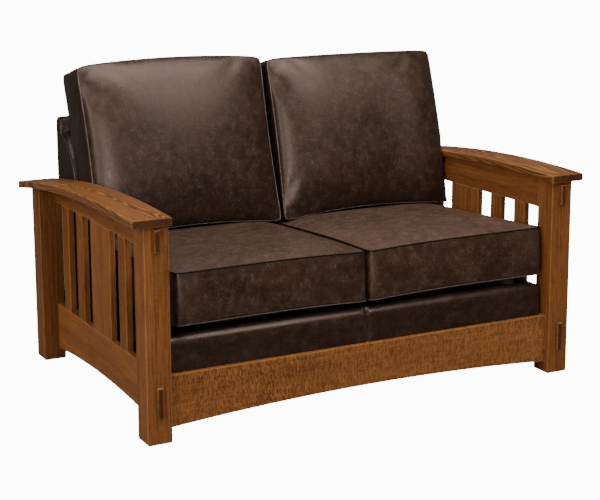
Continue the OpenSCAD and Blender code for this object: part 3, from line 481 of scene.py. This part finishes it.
def leather(name, shift, tone, wear=1.0, top_sheen=0.0, roughness=1.0):
    """The settee's dark brown leather; a painted sheen can make what faces up paler."""
    material, tree = new_material(name)
    at = placed(tree, shift)
    skin = add(tree, "Group", {}, node_tree=distressed_hide)
    tree.links.new(at, skin.inputs["Vector"])
    for socket, value in (("Hide", scaled(HIDE, tone)), ("Rubbed", scaled(HIDE_RUBBED, tone)),
                          ("Scratch", scaled(HIDE_SCRATCH, tone)), ("Wear", wear)):
        skin.inputs[socket].default_value = value
    colour = skin.outputs["Colour"]
    # Painted sheen: what faces up is made paler, for the light it catches.
    if top_sheen:
        facing_up = ramp(tree, facing(tree, "z"), 0.70, 0.97, 0.0, top_sheen)
        colour = blended(tree, facing_up, colour, HIDE_TOP_SHEEN, "ADD")
    bump = add(tree, "Bump", {"Height": skin.outputs["Height"], "Strength": 0.35, "Distance": 0.0012})
    principled(tree, {"Base Color": colour, "Roughness": times(tree, skin.outputs["Roughness"], roughness),
                      "Normal": bump.outputs[0], "Specular IOR Level": 0.42,
                      "Specular Tint": (1.0, 0.76, 0.64, 1)})
    return material


def welt_leather(name, shift, pale, dark):
    """A welt's strip: pale in front and at the sides, partly rubbed wear and partly a painted highlight, and
    painted shade on top, where it lies in a pinch.
    """
    material, tree = new_material(name)
    at = placed(tree, shift)
    wear_and_light = cloud(tree, at, 55.0, 4.0, 0.6)
    # The pale front and sides are partly rubbed wear and partly a painted highlight; what faces up is painted
    # shade.
    rubbed = blended(tree, ramp(tree, wear_and_light, 0.35, 0.65), scaled(pale, 0.45), pale)
    colour = blended(tree, ramp(tree, facing(tree, "z"), 0.30, 0.60), rubbed, dark)
    bump = add(tree, "Bump", {"Height": wear_and_light, "Strength": 0.3, "Distance": 0.0008})
    principled(tree, {"Base Color": colour, "Roughness": ramp(tree, wear_and_light, 0.3, 0.7, 0.50, 0.66),
                      "Normal": bump.outputs[0], "Specular IOR Level": 0.2,
                      "Specular Tint": (1.0, 0.80, 0.70, 1)})
    return material


# Welt colours: the pale one is partly rubbed wear and partly a painted highlight, the darkest one is painted
# shade.
WELT_LIT_AND_RUBBED = (0.135, 0.102, 0.085, 1)
WELT_SOFT = (0.045, 0.031, 0.024, 1)
WELT_SHADE = (0.0045, 0.0024, 0.0016, 1)

deck_pitch = Matrix.Rotation(-math.radians(3.2), 4, "X")
deck_origin = Vector((0, -0.452, 0.190))
deck_frame = Matrix.Translation(deck_origin) @ deck_pitch
deck_level = deck_frame.inverted()
deck_half = 0.638
roll = 0.020
end_round = 0.004
deck_y0, deck_edge = -0.007, 0.096
at_seam = [-0.012, -0.006, -0.003, 0, 0.003, 0.006, 0.012]
near_ends = [sign * (deck_half - t) for sign in (-1, 1) for t in (0.001, 0.0025, 0.004, 0.010)]
cut_places = span(-deck_half, -0.012, 0.022) + at_seam + span(0.012, deck_half, 0.022) + near_ends
deck_front_cuts = [(deck_frame @ Vector((x, 0, 0)), (1, 0, 0)) for x in cut_places]
deck_front_cuts += [(deck_frame @ Vector((0, 0, z)), deck_pitch @ Vector((0, 0, 1)))
                    for z in span(0.0, 0.076, 0.0095)]
deck_front_cuts += [(deck_frame @ Vector((0, y, 0)), deck_pitch @ Vector((0, 1, 0)))
                    for y in span(deck_y0 + 0.02, 0.10, 0.012)]
lift_most, lift_middle, lift_reach = 0.010, 0.016, 0.026


def roll_lift(y, z):
    """How much the roll's stuffing lifts the leather at the deck's front edge."""
    high = min(1.0, max(0.0, z) / deck_edge)
    return lift_most * high ** 3 * hump(y - deck_y0, lift_middle, lift_reach)


deck_cover = from_node("deck_leather", "deck_cover", deck_front_cuts)
for vertex in deck_cover.data.vertices:
    p = deck_level @ vertex.co
    front = max(0.0, 1 - max(0.0, p.y - deck_y0) / 0.09)
    high = min(1.0, max(0.0, p.z) / deck_edge)
    ends = min(1.0, (deck_half - abs(p.x)) / 0.05)
    wide_ripple = wavy(p.x * 7.0, 3.1, p.z * 9.0)
    short_ripple = wavy(p.x * 19.0, 8.2, p.z * 16.0)
    ripple = wide_ripple * 0.6 + short_ripple * 0.35
    seam_lips = hump(abs(p.x), 0.011, 0.006) * 0.0008
    seam = hump(p.x, 0, 0.0045) * 0.0028 - seam_lips
    roll_full = 0.0045 * hump(p.z, 0.072, 0.020) * ends
    outward = front * (ends * (0.0022 + 0.0026 * ripple) * (0.35 + 0.65 * high) + roll_full - seam)
    rounding = Vector((0, -1, 0.15 + 0.85 * high ** 3)).normalized()
    turned = max(0.0, abs(p.x) - deck_half + end_round) if p.y < deck_y0 + end_round else 0.0
    back = end_round - math.sqrt(max(0.0, end_round ** 2 - turned ** 2))
    vertex.co = deck_frame @ (p + rounding * outward + Vector((0, back, ends * roll_lift(p.y, p.z))))
shade_smooth(deck_cover)
deck_hide = leather("leather_deck", (0.3, 0.2, 0.7), tone=1.32, wear=0.6, roughness=0.85)
carried(deck_cover, "frame", "leather", deck_hide, "deck_leather")


def tube(name, path, thick, closed=False, sides=8):
    """A round cord along a path, as a mesh: the path's points are close together."""
    line = bpy.data.curves.new(name, "CURVE")
    line.dimensions = "3D"
    line.bevel_depth = thick / 2
    line.bevel_resolution = max(0, sides // 4 - 1)
    line.use_fill_caps = not closed
    spline = line.splines.new("POLY")
    spline.points.add(len(path) - 1)
    for point, place in zip(spline.points, path):
        point.co = (*place, 1)
    spline.use_cyclic_u = closed
    spline.use_smooth = True
    drawn = linked(name, line)
    bpy.context.view_layer.update()
    mesh = bpy.data.meshes.new_from_object(drawn.evaluated_get(bpy.context.evaluated_depsgraph_get()))
    bpy.data.objects.remove(drawn)
    mesh.name = name
    return linked(name, mesh)


def joined(name, pieces):
    """One object from several."""
    bm = bmesh.new()
    for piece in pieces:
        bm.from_mesh(piece.data)
        bpy.data.objects.remove(piece)
    return from_bmesh(name, bm)


front_run = deck_edge - roll
arc_run = roll * math.pi / 2


def on_roll(along):
    """A place on the deck's front and round its roll, this far from the lower edge, and the way out."""
    past = along - front_run - arc_run
    if along < front_run:
        return Vector((0, deck_y0, along)), Vector((0, -1, 0))
    if past < 0:
        turned_by = (along - front_run) / roll
        out = Vector((0, -math.cos(turned_by), math.sin(turned_by)))
        return Vector((0, deck_y0 + roll, front_run)) + out * roll, out
    return Vector((0, deck_y0 + roll + past, deck_edge)), Vector((0, 0, 1))


stitch_pitch, stitch_length, stitch_row, stitch_height = 0.0070, 0.0048, 0.0085, 0.0036
stitch_thick = 0.0011
stitches = []
for row in (-1, 1):
    for k in range(int((front_run + arc_run + 0.05) / stitch_pitch)):
        start = k * stitch_pitch + 0.006
        ends = []
        for along in (start, start + stitch_length):
            place, out = on_roll(along)
            lifted = Vector((row * stitch_row, 0, roll_lift(place.y, place.z)))
            ends.append(deck_frame @ (place + out * stitch_height + lifted))
        stitches.append(tube(f"stitch_{row}_{k}", ends, stitch_thick, sides=4))
deck_stitches = joined("deck_seam_stitches", stitches)
thread, thread_tree = new_material("waxed_thread")
twist = cloud(thread_tree, placed(thread_tree), 900.0, 2.0)
thread_colour = blended(thread_tree, ramp(thread_tree, twist, 0.3, 0.7),
                        (0.05, 0.034, 0.024, 1), (0.16, 0.115, 0.08, 1))
principled(thread_tree, {"Base Color": thread_colour,
                         "Roughness": ramp(thread_tree, twist, 0.3, 0.7, 0.5, 0.7)})
carried(deck_stitches, "frame", "leather", thread)


# Back pad and outside back
# The back frame's front is padded and covered in leather to a narrow roll along the top, with a welt
# down each side where the side pieces meet it. The outside back is one wide hide, pulled tight.

back_half = 0.638
back_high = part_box("back_leather")[1]
pad_cuts = [((x, 0, 0), (1, 0, 0)) for x in span(-back_half, back_half, 0.026)]
pad_cuts += [((0, 0, z), (0, 0, 1)) for z in span(0.45, back_high.z, 0.016)]
back_pad = from_node("back_leather", "back_pad", pad_cuts)
for vertex in back_pad.data.vertices:
    p = vertex.co
    inside = min(1.0, (back_half - abs(p.x)) / 0.06)
    edge = math.sin(math.pi / 2 * max(0.0, inside))
    wide_wave = wavy(p.x * 5.0, 1.7, p.z * 6.0)
    short_wave = wavy(p.x * 15.0, 4.0, p.z * 9.0)
    wave = wide_wave * 0.7 + short_wave * 0.3
    gathered = hump(back_half - abs(p.x), 0.022, 0.018)
    pucker = gathered * math.sin(p.z * 210.0 + 3.0 * wavy(p.x * 8, 0, p.z * 8))
    lift = edge * (0.0028 + 0.0030 * wave) + 0.0011 * pucker
    top = min(1.0, max(0.0, (p.z - back_high.z + 0.05) / 0.05))
    vertex.co = p + Vector((0, -lift * (1 - 0.6 * top), lift * top * 0.8))
shade_smooth(back_pad)
pad_hide = leather("leather_back_pad", (1.3, 0.6, 0.1), tone=0.95, wear=0.8)
carried(back_pad, "frame", "leather", pad_hide, "back_leather")

welt_thick, welt_proud, welt_sunk, deck_top = 0.0056, 0.0022, 0.0005, 0.40
for side, sign in SIDES:
    node = f"back_side_leather_{side}"
    low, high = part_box(node)
    side_cuts = [((0, y, 0), (0, 1, 0)) for y in span(low.y, high.y, 0.016)]
    side_cuts += [((0, 0, z), (0, 0, 1)) for z in span(low.z, high.z, 0.016)]
    side_cover = from_node(node, f"back_side_cover_{side}", side_cuts)
    for vertex in side_cover.data.vertices:
        p = vertex.co
        if sign * p.x > back_half - 0.0005:
            inside = min(1.0, max(0.0, min(high.z - p.z, high.y - p.y, p.z - low.z) / 0.03))
            swell = inside * (0.0007 + 0.0007 * wavy(sign, p.y * 9, p.z * 6))
            vertex.co = p + Vector((sign * swell, 0, 0))
    shade_smooth(side_cover)
    side_hide = leather(f"leather_back_side_{side}", (0.2 + sign, 1.9, 0.4), tone=0.9, wear=0.5)
    carried(side_cover, "frame", "leather", side_hide, node)
    outline = {(round(v.co.y, 5), round(v.co.z, 5)) for v in nodes[node].data.vertices}
    front_line = [(z, y) for y, z in outline if z > deck_top and (high.y - y > 1e-4 or z > high.z - 1e-3)]
    path = []
    for z, y in sorted(front_line):
        at_top = z > high.z - 0.003
        path.append(Vector((sign * (back_half - welt_sunk), y - (0 if at_top else welt_proud),
                            z + (welt_proud if at_top else 0))))
    welt = tube(f"back_side_welt_{side}", path, welt_thick)
    welt_hide = welt_leather(f"leather_back_welt_{side}", (0.4, sign, 0.3), WELT_LIT_AND_RUBBED, WELT_SHADE)
    carried(welt, "frame", "leather", welt_hide)

panel_low, panel_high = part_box("outside_back")
panel_cuts = [((x, 0, 0), (1, 0, 0)) for x in span(panel_low.x, panel_high.x, 0.04)]
panel_cuts += [((0, 0, z), (0, 0, 1)) for z in span(panel_low.z, panel_high.z, 0.04)]
outside = from_node("outside_back", "outside_back_hide", panel_cuts)
for vertex in outside.data.vertices:
    p = vertex.co
    inside = min(panel_high.x - abs(p.x), p.z - panel_low.z, panel_high.z - p.z) / 0.09
    swell = math.sin(math.pi / 2 * min(1.0, max(0.0, inside)))
    wave = wavy(p.x * 3.4, 6.3, p.z * 5.0)
    if p.y > (panel_low.y + panel_high.y) / 2:
        vertex.co = p + Vector((0, swell * (0.0035 + 0.0028 * wave), 0))
shade_smooth(outside)
outside_hide = leather("leather_outside_back", (2.2, 0.4, 1.1), tone=0.95, wear=0.7)
carried(outside, "frame", "leather", outside_hide, "outside_back")
bend = 0.014
welt_xz = [(-back_half, z) for z in (panel_low.z, 0.4, 0.6)]
for _, sign in SIDES:
    arc = [(sign * (back_half - bend + bend * math.cos(a)), panel_high.z - bend + bend * math.sin(a))
           for a in [math.radians(15 * k) for k in range(7)]]
    welt_xz += arc[::-1] if sign > 0 else arc
welt_xz += [(back_half, z) for z in (0.6, 0.4, panel_low.z)]
rear_path = [Vector((x, panel_high.y - welt_sunk, z)) for x, z in welt_xz]
rear_welt = tube("outside_back_welt", rear_path, welt_thick)
rear_welt_hide = welt_leather("leather_rear_welt", (0.1, 0.8, 0.3), WELT_SOFT, WELT_SHADE)
carried(rear_welt, "frame", "leather", rear_welt_hide)


# Seat cushions
# Two loose box cushions with crowned tops, a boxing all round, and a thin welt in each seam. They are
# foam in a soft wrap, so the leather is full, and slack enough to pucker a little at the seams.

cushion_width = 0.628
corner_radius = 0.022
corner_cut = 0.29 * corner_radius
drawn_in = 0.007
boxing_bulge = 0.0025
cushion_welt = 0.0044


def plan(u, v, width, depth, foot, head):
    """A place in the cover's plan, u and v from -1 to 1: the sides draw in between rounded corners."""
    cut = corner_cut * abs(u * v) ** 18
    draw = head + (foot - head) * (1 - v) / 2
    return (u * (width / 2 - drawn_in * (1 - v * v)) - math.copysign(cut, u),
            v * (depth / 2 - draw * (1 - u * u)) - math.copysign(cut, v))


def seam_loop(width, depth, height, foot, head):
    """The seam's closed line at a height, level, from the front left corner round."""
    steps = 72
    t = [math.sin(math.pi / 2 * (2 * k / steps - 1)) for k in range(steps)]
    around = [(a, -1) for a in t] + [(1, a) for a in t] + [(-a, 1) for a in t] + [(-1, -a) for a in t]
    return [Vector((*plan(u, v, width, depth, foot, head), height)) for u, v in around]


def local_frame(node, turn, under, thick, seam):
    """The place of a cushion's middle, between its seams, from its CAD solid and its turn."""
    back = turn.inverted()
    spots = [back @ v.co for v in nodes[node].data.vertices]
    low = Vector([min(p[k] for p in spots) for k in range(3)])
    high = Vector([max(p[k] for p in spots) for k in range(3)])
    middle = (low + high) / 2
    for k in range(2):
        middle[k] -= (min(p[k] for p in seam) + max(p[k] for p in seam)) / 2
    middle.z = low.z + under + thick / 2
    return Matrix.Translation(turn @ middle) @ turn


def boxed_cover(name, width, depth, thick, crown, belly, hang, fill, foot, head, spread):
    """A sewn cover in its own frame: crowned above, a belly below, and a boxing between its two seams."""
    cells, rings = 44, 9
    bm = bmesh.new()
    bmesh.ops.create_cube(bm, size=2)
    upright = [e for e in bm.edges if abs(e.verts[0].co.z - e.verts[1].co.z) > 1]
    bmesh.ops.subdivide_edges(bm, edges=upright, cuts=rings - 1)
    level = [e for e in bm.edges if abs(e.verts[0].co.z - e.verts[1].co.z) < 1e-5]
    bmesh.ops.subdivide_edges(bm, edges=level, cuts=cells - 1, use_grid_fill=True)
    crease = bm.edges.layers.float.new("crease_edge")
    bm.verts.index_update()
    sewn = {v.index for v in bm.verts
            if abs(v.co.z) > 0.9999 and max(abs(v.co.x), abs(v.co.y)) > 0.9999}
    for edge in bm.edges:
        edge[crease] = 0.75 if all(v.index in sewn for v in edge.verts) else 0.0
    for vertex in bm.verts:
        a, b, c = vertex.co
        u, v = (t + 0.5 * math.sin(math.pi * t) / math.pi for t in (a, b))
        square = (u ** 6 + v ** 6) ** (1 / 6)
        round_hill, square_hill = max(0.0, (1 - u * u) * (1 - v * v)), max(0.0, 1 - square ** 2)
        full = 0.35 * round_hill ** fill + 0.65 * square_hill ** fill
        x, y = plan(u, v, width, depth, foot, head)
        if abs(c) < 0.9999:
            out = Vector((math.copysign(abs(u) ** 40, u), math.copysign(abs(v) ** 40, v), 0))
            out *= boxing_bulge * (1 - c * c) / max(1.0, out.length)
            vertex.co = Vector((x, y, c * thick / 2)) + out
        elif c > 0:
            vertex.co = (x + spread * full * u * abs(u) ** 8 * (1 - v ** 8), y, thick / 2 + crown * full)
        else:
            vertex.co = (x, y, -thick / 2 - min(belly, (belly + hang) * full))
    cover = from_bmesh(name, bm)
    cover.vertex_groups.new(name="seams").add(sorted(sewn), 1.0, "REPLACE")
    return cover


def apply_all(piece):
    """The piece's mesh becomes what its modifiers make of it."""
    bpy.context.view_layer.update()
    mesh = bpy.data.meshes.new_from_object(piece.evaluated_get(bpy.context.evaluated_depsgraph_get()))
    piece.modifiers.clear()
    piece.data = mesh
    mesh.name = piece.name


def stuffed(piece, reach, slack, pressure):
    """Fills the cover: cloth under pressure, held at its seams; no point goes further than its reach."""
    rest = [v.co.copy() for v in piece.data.vertices]
    cloth = piece.modifiers.new("fill", "CLOTH")
    settings = cloth.settings
    settings.quality = 5
    settings.mass = 0.4
    settings.tension_stiffness = 18
    settings.compression_stiffness = 18
    settings.shear_stiffness = 6
    settings.bending_stiffness = 3
    settings.use_pressure = True
    settings.uniform_pressure_force = pressure
    settings.effector_weights.gravity = 0
    settings.vertex_group_mass = "seams"
    settings.shrink_min = -slack
    cloth.collision_settings.use_collision = False
    last_step = 16
    cloth.point_cache.frame_start = 1
    cloth.point_cache.frame_end = last_step
    for step in range(1, last_step + 1):
        bpy.context.scene.frame_set(step)
    apply_all(piece)
    bpy.context.scene.frame_set(1)
    for vertex, start in zip(piece.data.vertices, rest):
        move = vertex.co - start
        vertex.co = start + Vector([reach[k] * math.tanh(move[k] / reach[k]) for k in range(3)])


def eased_off(piece, rounds):
    """Smooths the small creases of a cover away, without its seams."""
    bm = bmesh.new()
    bm.from_mesh(piece.data)
    groups = bm.verts.layers.deform.verify()
    loose = [v for v in bm.verts if not v[groups]]
    for _ in range(rounds):
        bmesh.ops.smooth_vert(bm, verts=loose, factor=0.5, use_axis_x=True, use_axis_y=True,
                              use_axis_z=True)
    bm.to_mesh(piece.data)
    bm.free()


pucker_start, pucker_fade = 0.006, 0.022


def near_seam(distance):
    """One close to a seam, fading away from it, and nothing on the seam itself."""
    return min(1.0, distance / pucker_start) * math.exp(-distance / pucker_fade)


def puckered(piece, width, depth, thick, deep, seed):
    """Short creases across each seam, where the leather is gathered by its stitches."""
    for vertex in piece.data.vertices:
        p = vertex.co
        to_side, to_end = max(0.0, width / 2 - abs(p.x)), max(0.0, depth / 2 - abs(p.y))
        along_side = wavy(p.y * 46, 2.0 * seed + math.copysign(4, p.x), p.z * 5)
        along_end = wavy(p.x * 46, 2.0 * seed + math.copysign(9, p.y), p.z * 5)
        uneven = 0.5 + wavy(p.x * 4, p.y * 4, seed)
        if abs(p.z) > thick / 2:
            creases = near_seam(to_side) * along_side + near_seam(to_end) * along_end
            lift = deep * uneven * creases
            vertex.co = p + Vector((0, 0, math.copysign(lift, p.z)))
        else:
            near = 1 - (2 * p.z / thick) ** 2
            lift = deep * 0.5 * uneven * near * (along_side if to_side < to_end else along_end)
            direction = Vector((p.x, 0, 0)) if to_side < to_end else Vector((0, p.y, 0))
            vertex.co = p + direction.normalized() * lift


def ramped(value, low, high):
    """From 0 at low to 1 at high, and level beyond."""
    return min(1.0, max(0.0, (value - low) / (high - low)))


room_at_arm, more_above_arm, more_by_slats, more_by_post = 0.6385, 0.024, 0.011, 0.008
over_arm, under_arm, post_back = (0.655, 0.680), (0.590, 0.560), -0.40


def pressed(p):
    """Flat where the cushion meets an arm board above, or a post and the slats below."""
    more_below = more_by_slats if p.y > post_back else more_by_post
    room = room_at_arm + more_above_arm * ramped(p.z, *over_arm) + more_below * ramped(p.z, *under_arm)
    p.x = max(-room, min(room, p.x))
    return p


def sewn_cushion(node, body, place, cover, seams, welts, settle, hide, shift, reach, slack, deep):
    """A stuffed cover with a welt in each seam, for its CAD solid; settle moves it as use has."""
    stuffed(cover, reach, slack, pressure=4.0)
    eased_off(cover, rounds=3)
    modifier = cover.modifiers.new("finer", "SUBSURF")
    modifier.levels = modifier.render_levels = 1
    apply_all(cover)
    extent = [max(abs(v.co[k]) for v in cover.data.vertices) * 2 for k in range(2)]
    puckered(cover, extent[0], extent[1], seams[0][0].z * 2, deep, shift[0])
    for vertex in cover.data.vertices:
        vertex.co = pressed(place @ settle(vertex.co.copy()))
    cover.vertex_groups.clear()
    shade_smooth(cover, math.radians(50))
    carried(cover, body, "cushion_leather", hide, node)
    for seam, (name, pale) in zip(seams, welts):
        path = [pressed(place @ settle(p)) for p in seam]
        welt = tube(f"{node}_welt_{name}", path, cushion_welt, closed=True)
        strip = welt_leather(f"leather_{node}_{name}_welt", shift, pale, WELT_SHADE)
        carried(welt, body, "cushion_leather", strip)


seat_depth, seat_thick, seat_belly = 0.664, 0.148, 0.030
for side, sign in SIDES:
    node = f"seat_cushion_{side}"
    seams = [seam_loop(cushion_width, seat_depth, h, drawn_in, drawn_in)
             for h in (seat_thick / 2, -seat_thick / 2)]
    place = local_frame(node, deck_pitch, seat_belly, seat_thick, seams[0])
    cover = boxed_cover(f"seat_cover_{side}", cushion_width, seat_depth, seat_thick, crown=0.022,
                        belly=seat_belly - 0.001, hang=0.005, fill=0.4, foot=drawn_in, head=drawn_in,
                        spread=0)

    def settle(p):
        """The seat's corners at the middle of the settee sit lower than the outer ones; its top is uneven."""
        front = max(0.0, -p.y / (seat_depth / 2))
        inner = max(0.0, -sign * p.x / (cushion_width / 2))
        high = max(0.0, p.z / (seat_thick / 2))
        dent = wavy(p.x * 6 + 3 * sign, p.y * 6, 0) * (1 if high > 1.05 else 0)
        outer = max(0.0, sign * p.x / (cushion_width / 2)) ** 2
        across = 0.007 * outer if sign > 0 else 0.006 + 0.010 * outer * front
        lower = 0.007 * front ** 2 * inner ** 2
        return p + Vector((across, 0, dent * 0.0018 - lower))

    shift = (0.7 * sign, 0.3, 1.4)
    # The seat's top gets a painted sheen, stronger on the right seat.
    hide = leather("leather_" + node, shift, tone=1.62 + 0.10 * sign, top_sheen=1.05 + 0.25 * sign)
    # The top welt is painted shade all round, a dark line for the seam's shadow.
    sewn_cushion(node, f"seat_{side}", place, cover, seams, (("top", WELT_SHADE), ("bottom", WELT_LIT_AND_RUBBED)),
                 settle, hide, shift, reach=(0.004, 0.004, 0.008), slack=0.003, deep=0.0012)


# Back cushions
# Two loose back cushions, stuffed fuller than the seats: a boxed cover with a high, soft crown in front,
# welts in both seams, and a top edge that bows up a little. They stand on the seats and lean back.

back_turn = Matrix.Rotation(-math.radians(14), 4, "X") @ Matrix.Rotation(math.pi / 2, 4, "X")
back_height, back_thick = 0.534, 0.140
back_foot, back_head = 0.012, -0.004


def bow_up(height):
    """One in the middle of a height that runs from -1 to 1, and nothing at its ends."""
    return max(0.0, 1 - height * height)


for side, sign in SIDES:
    node = f"back_cushion_{side}"
    seams = [seam_loop(cushion_width, back_height, h, back_foot, back_head)
             for h in (back_thick / 2, -back_thick / 2)]
    place = local_frame(node, back_turn, 0.0, back_thick, seams[0])
    cover = boxed_cover(f"back_cover_{side}", cushion_width, back_height, back_thick, crown=0.044,
                        belly=0.0, hang=0.0, fill=0.40, foot=back_foot, head=back_head, spread=0.018)

    def settle(p):
        """Each cushion has slumped its own way: the feet spread, and the left one's top is bowed up."""
        across, height = p.x / (cushion_width / 2), p.y / (back_height / 2)
        low, high = max(0.0, (1 - height) / 2), max(0.0, (1 + height) / 2)
        to_right = max(0.0, (1 + across) / 2)
        bow = 1 - min(1.0, across * across)
        if sign < 0:
            move = Vector((0.010 * low * to_right - 0.008 * high * (1 - to_right),
                           0.010 * high ** 2 * bow + 0.003 * high, 0))
        else:
            outer = max(0.0, across) ** 3
            fuller = bow_up((height + 0.3) / 1.3)
            move = Vector((0.009 * (1 - to_right) + outer * (0.013 + 0.015 * fuller), -0.006 * high,
                           0.104 * outer * max(0.0, 1 - outer) * fuller if p.z > back_thick / 2 else 0))
        move.y -= 0.010 * low ** 3 * across * across
        return p + move

    shift = (0.5 * sign, 1.3, 0.2)
    hide = leather("leather_" + node, shift, tone=1.04 + 0.03 * sign)
    sewn_cushion(node, f"back_{side}", place, cover, seams, (("front", WELT_LIT_AND_RUBBED), ("rear", WELT_SOFT)),
                 settle, hide, shift, reach=(0.006, 0.005, 0.012), slack=0.002, deep=0.0016)


# Studio
# A pale floor without an edge, wide soft lamps, and a camera with a long lens at the photograph's angle.
# Floor and backdrop are white to the camera alone, so that the leather doesn't mirror a white room.

floor_bm = bmesh.new()
bmesh.ops.create_circle(floor_bm, cap_ends=True, segments=96, radius=30.0)
floor = from_bmesh("studio_floor", floor_bm)
floor.location = (0, 0, -0.0005)
white_to_camera = 12.0
floor_paint, floor_tree = new_material("floor_paint")
seen = add(floor_tree, "LightPath").outputs["Is Camera Ray"]
principled(floor_tree, {"Base Color": (0.52, 0.49, 0.46, 1), "Roughness": 0.9, "Specular IOR Level": 0.1,
                        "Emission Color": (1, 1, 1, 1),
                        "Emission Strength": ramp(floor_tree, seen, 0, 1, 0, white_to_camera)})
floor.data.materials.append(floor_paint)
floor.visible_glossy = False

world = bpy.data.worlds.new("studio")
bpy.context.scene.world = world
world.use_nodes = True
backdrop = world.node_tree.nodes["Background"]
backdrop.inputs[0].default_value = (1.0, 1.0, 1.0, 1)
path_kind = add(world.node_tree, "LightPath").outputs
shine = ramp(world.node_tree, path_kind["Is Glossy Ray"], 0, 1, 0.20, 0.12)
seen = times(world.node_tree, path_kind["Is Camera Ray"], white_to_camera)
bright = add(world.node_tree, "Math", {0: shine, 1: seen}, operation="MAXIMUM")
world.node_tree.links.new(bright.outputs[0], backdrop.inputs[1])


def lamp(name, place, aim, size, power):
    """A wide lamp that looks from its place to its aim."""
    light = bpy.data.lights.new(name, "AREA")
    light.shape = "RECTANGLE"
    light.size, light.size_y = size
    light.energy = power
    piece = linked(name, light)
    piece.location = place
    piece.rotation_euler = (Vector(aim) - Vector(place)).to_track_quat("-Z", "Y").to_euler()
    return piece


lamp("lamp_left", place=(-3.5, -2.2, 1.9), aim=(0, 0, 0.5), size=(0.6, 2.0), power=64)
side_lamp = lamp("lamp_side", place=(-4.2, 0.4, 2.4), aim=(0, 0, 0.5), size=(2.4, 1.6), power=52)
lamp("lamp_top", place=(0.0, -0.9, 3.6), aim=(0, 0, 0.5), size=(3.2, 2.2), power=176)
lamp("lamp_right", place=(1.2, -3.0, 3.1), aim=(0, -0.2, 0.4), size=(1.2, 1.2), power=58)
back_lamp = lamp("lamp_back", place=(0.9, 4.3, 1.5), aim=(0, 0, 0.4), size=(2.6, 1.8), power=90)
streak_lamp = lamp("lamp_streak", place=(-2.0, -4.1, 1.35), aim=(-0.15, 0, 0.7), size=(0.3, 1.1),
                   power=100)
# The side and back lamps leave no shine, and the streak lamp gives nothing else.
side_lamp.visible_glossy = False
back_lamp.visible_glossy = False
streak_lamp.visible_diffuse = False

yaw, pitch, tilt = 0.486774, -0.189254, -0.003254
camera_place = Vector((-2.14764, -4.09102, 1.46085))
forward = Vector((math.sin(yaw) * math.cos(pitch), math.cos(yaw) * math.cos(pitch), math.sin(pitch)))
level_right = Vector((math.cos(yaw), -math.sin(yaw), 0))
level_up = level_right.cross(forward)
right = math.cos(tilt) * level_right + math.sin(tilt) * level_up
up = math.cos(tilt) * level_up - math.sin(tilt) * level_right
picture_width, focal_pixels, shift_pixels = 600, 1463.869, -60
lens = bpy.data.cameras.new("camera")
lens.sensor_width = 36
lens.lens = focal_pixels / picture_width * lens.sensor_width
lens.shift_y = shift_pixels / picture_width
camera = linked("camera", lens)
turn = Matrix((right, up, -forward)).transposed()
camera.matrix_world = Matrix.Translation(camera_place) @ turn.to_4x4()
bpy.context.scene.camera = camera
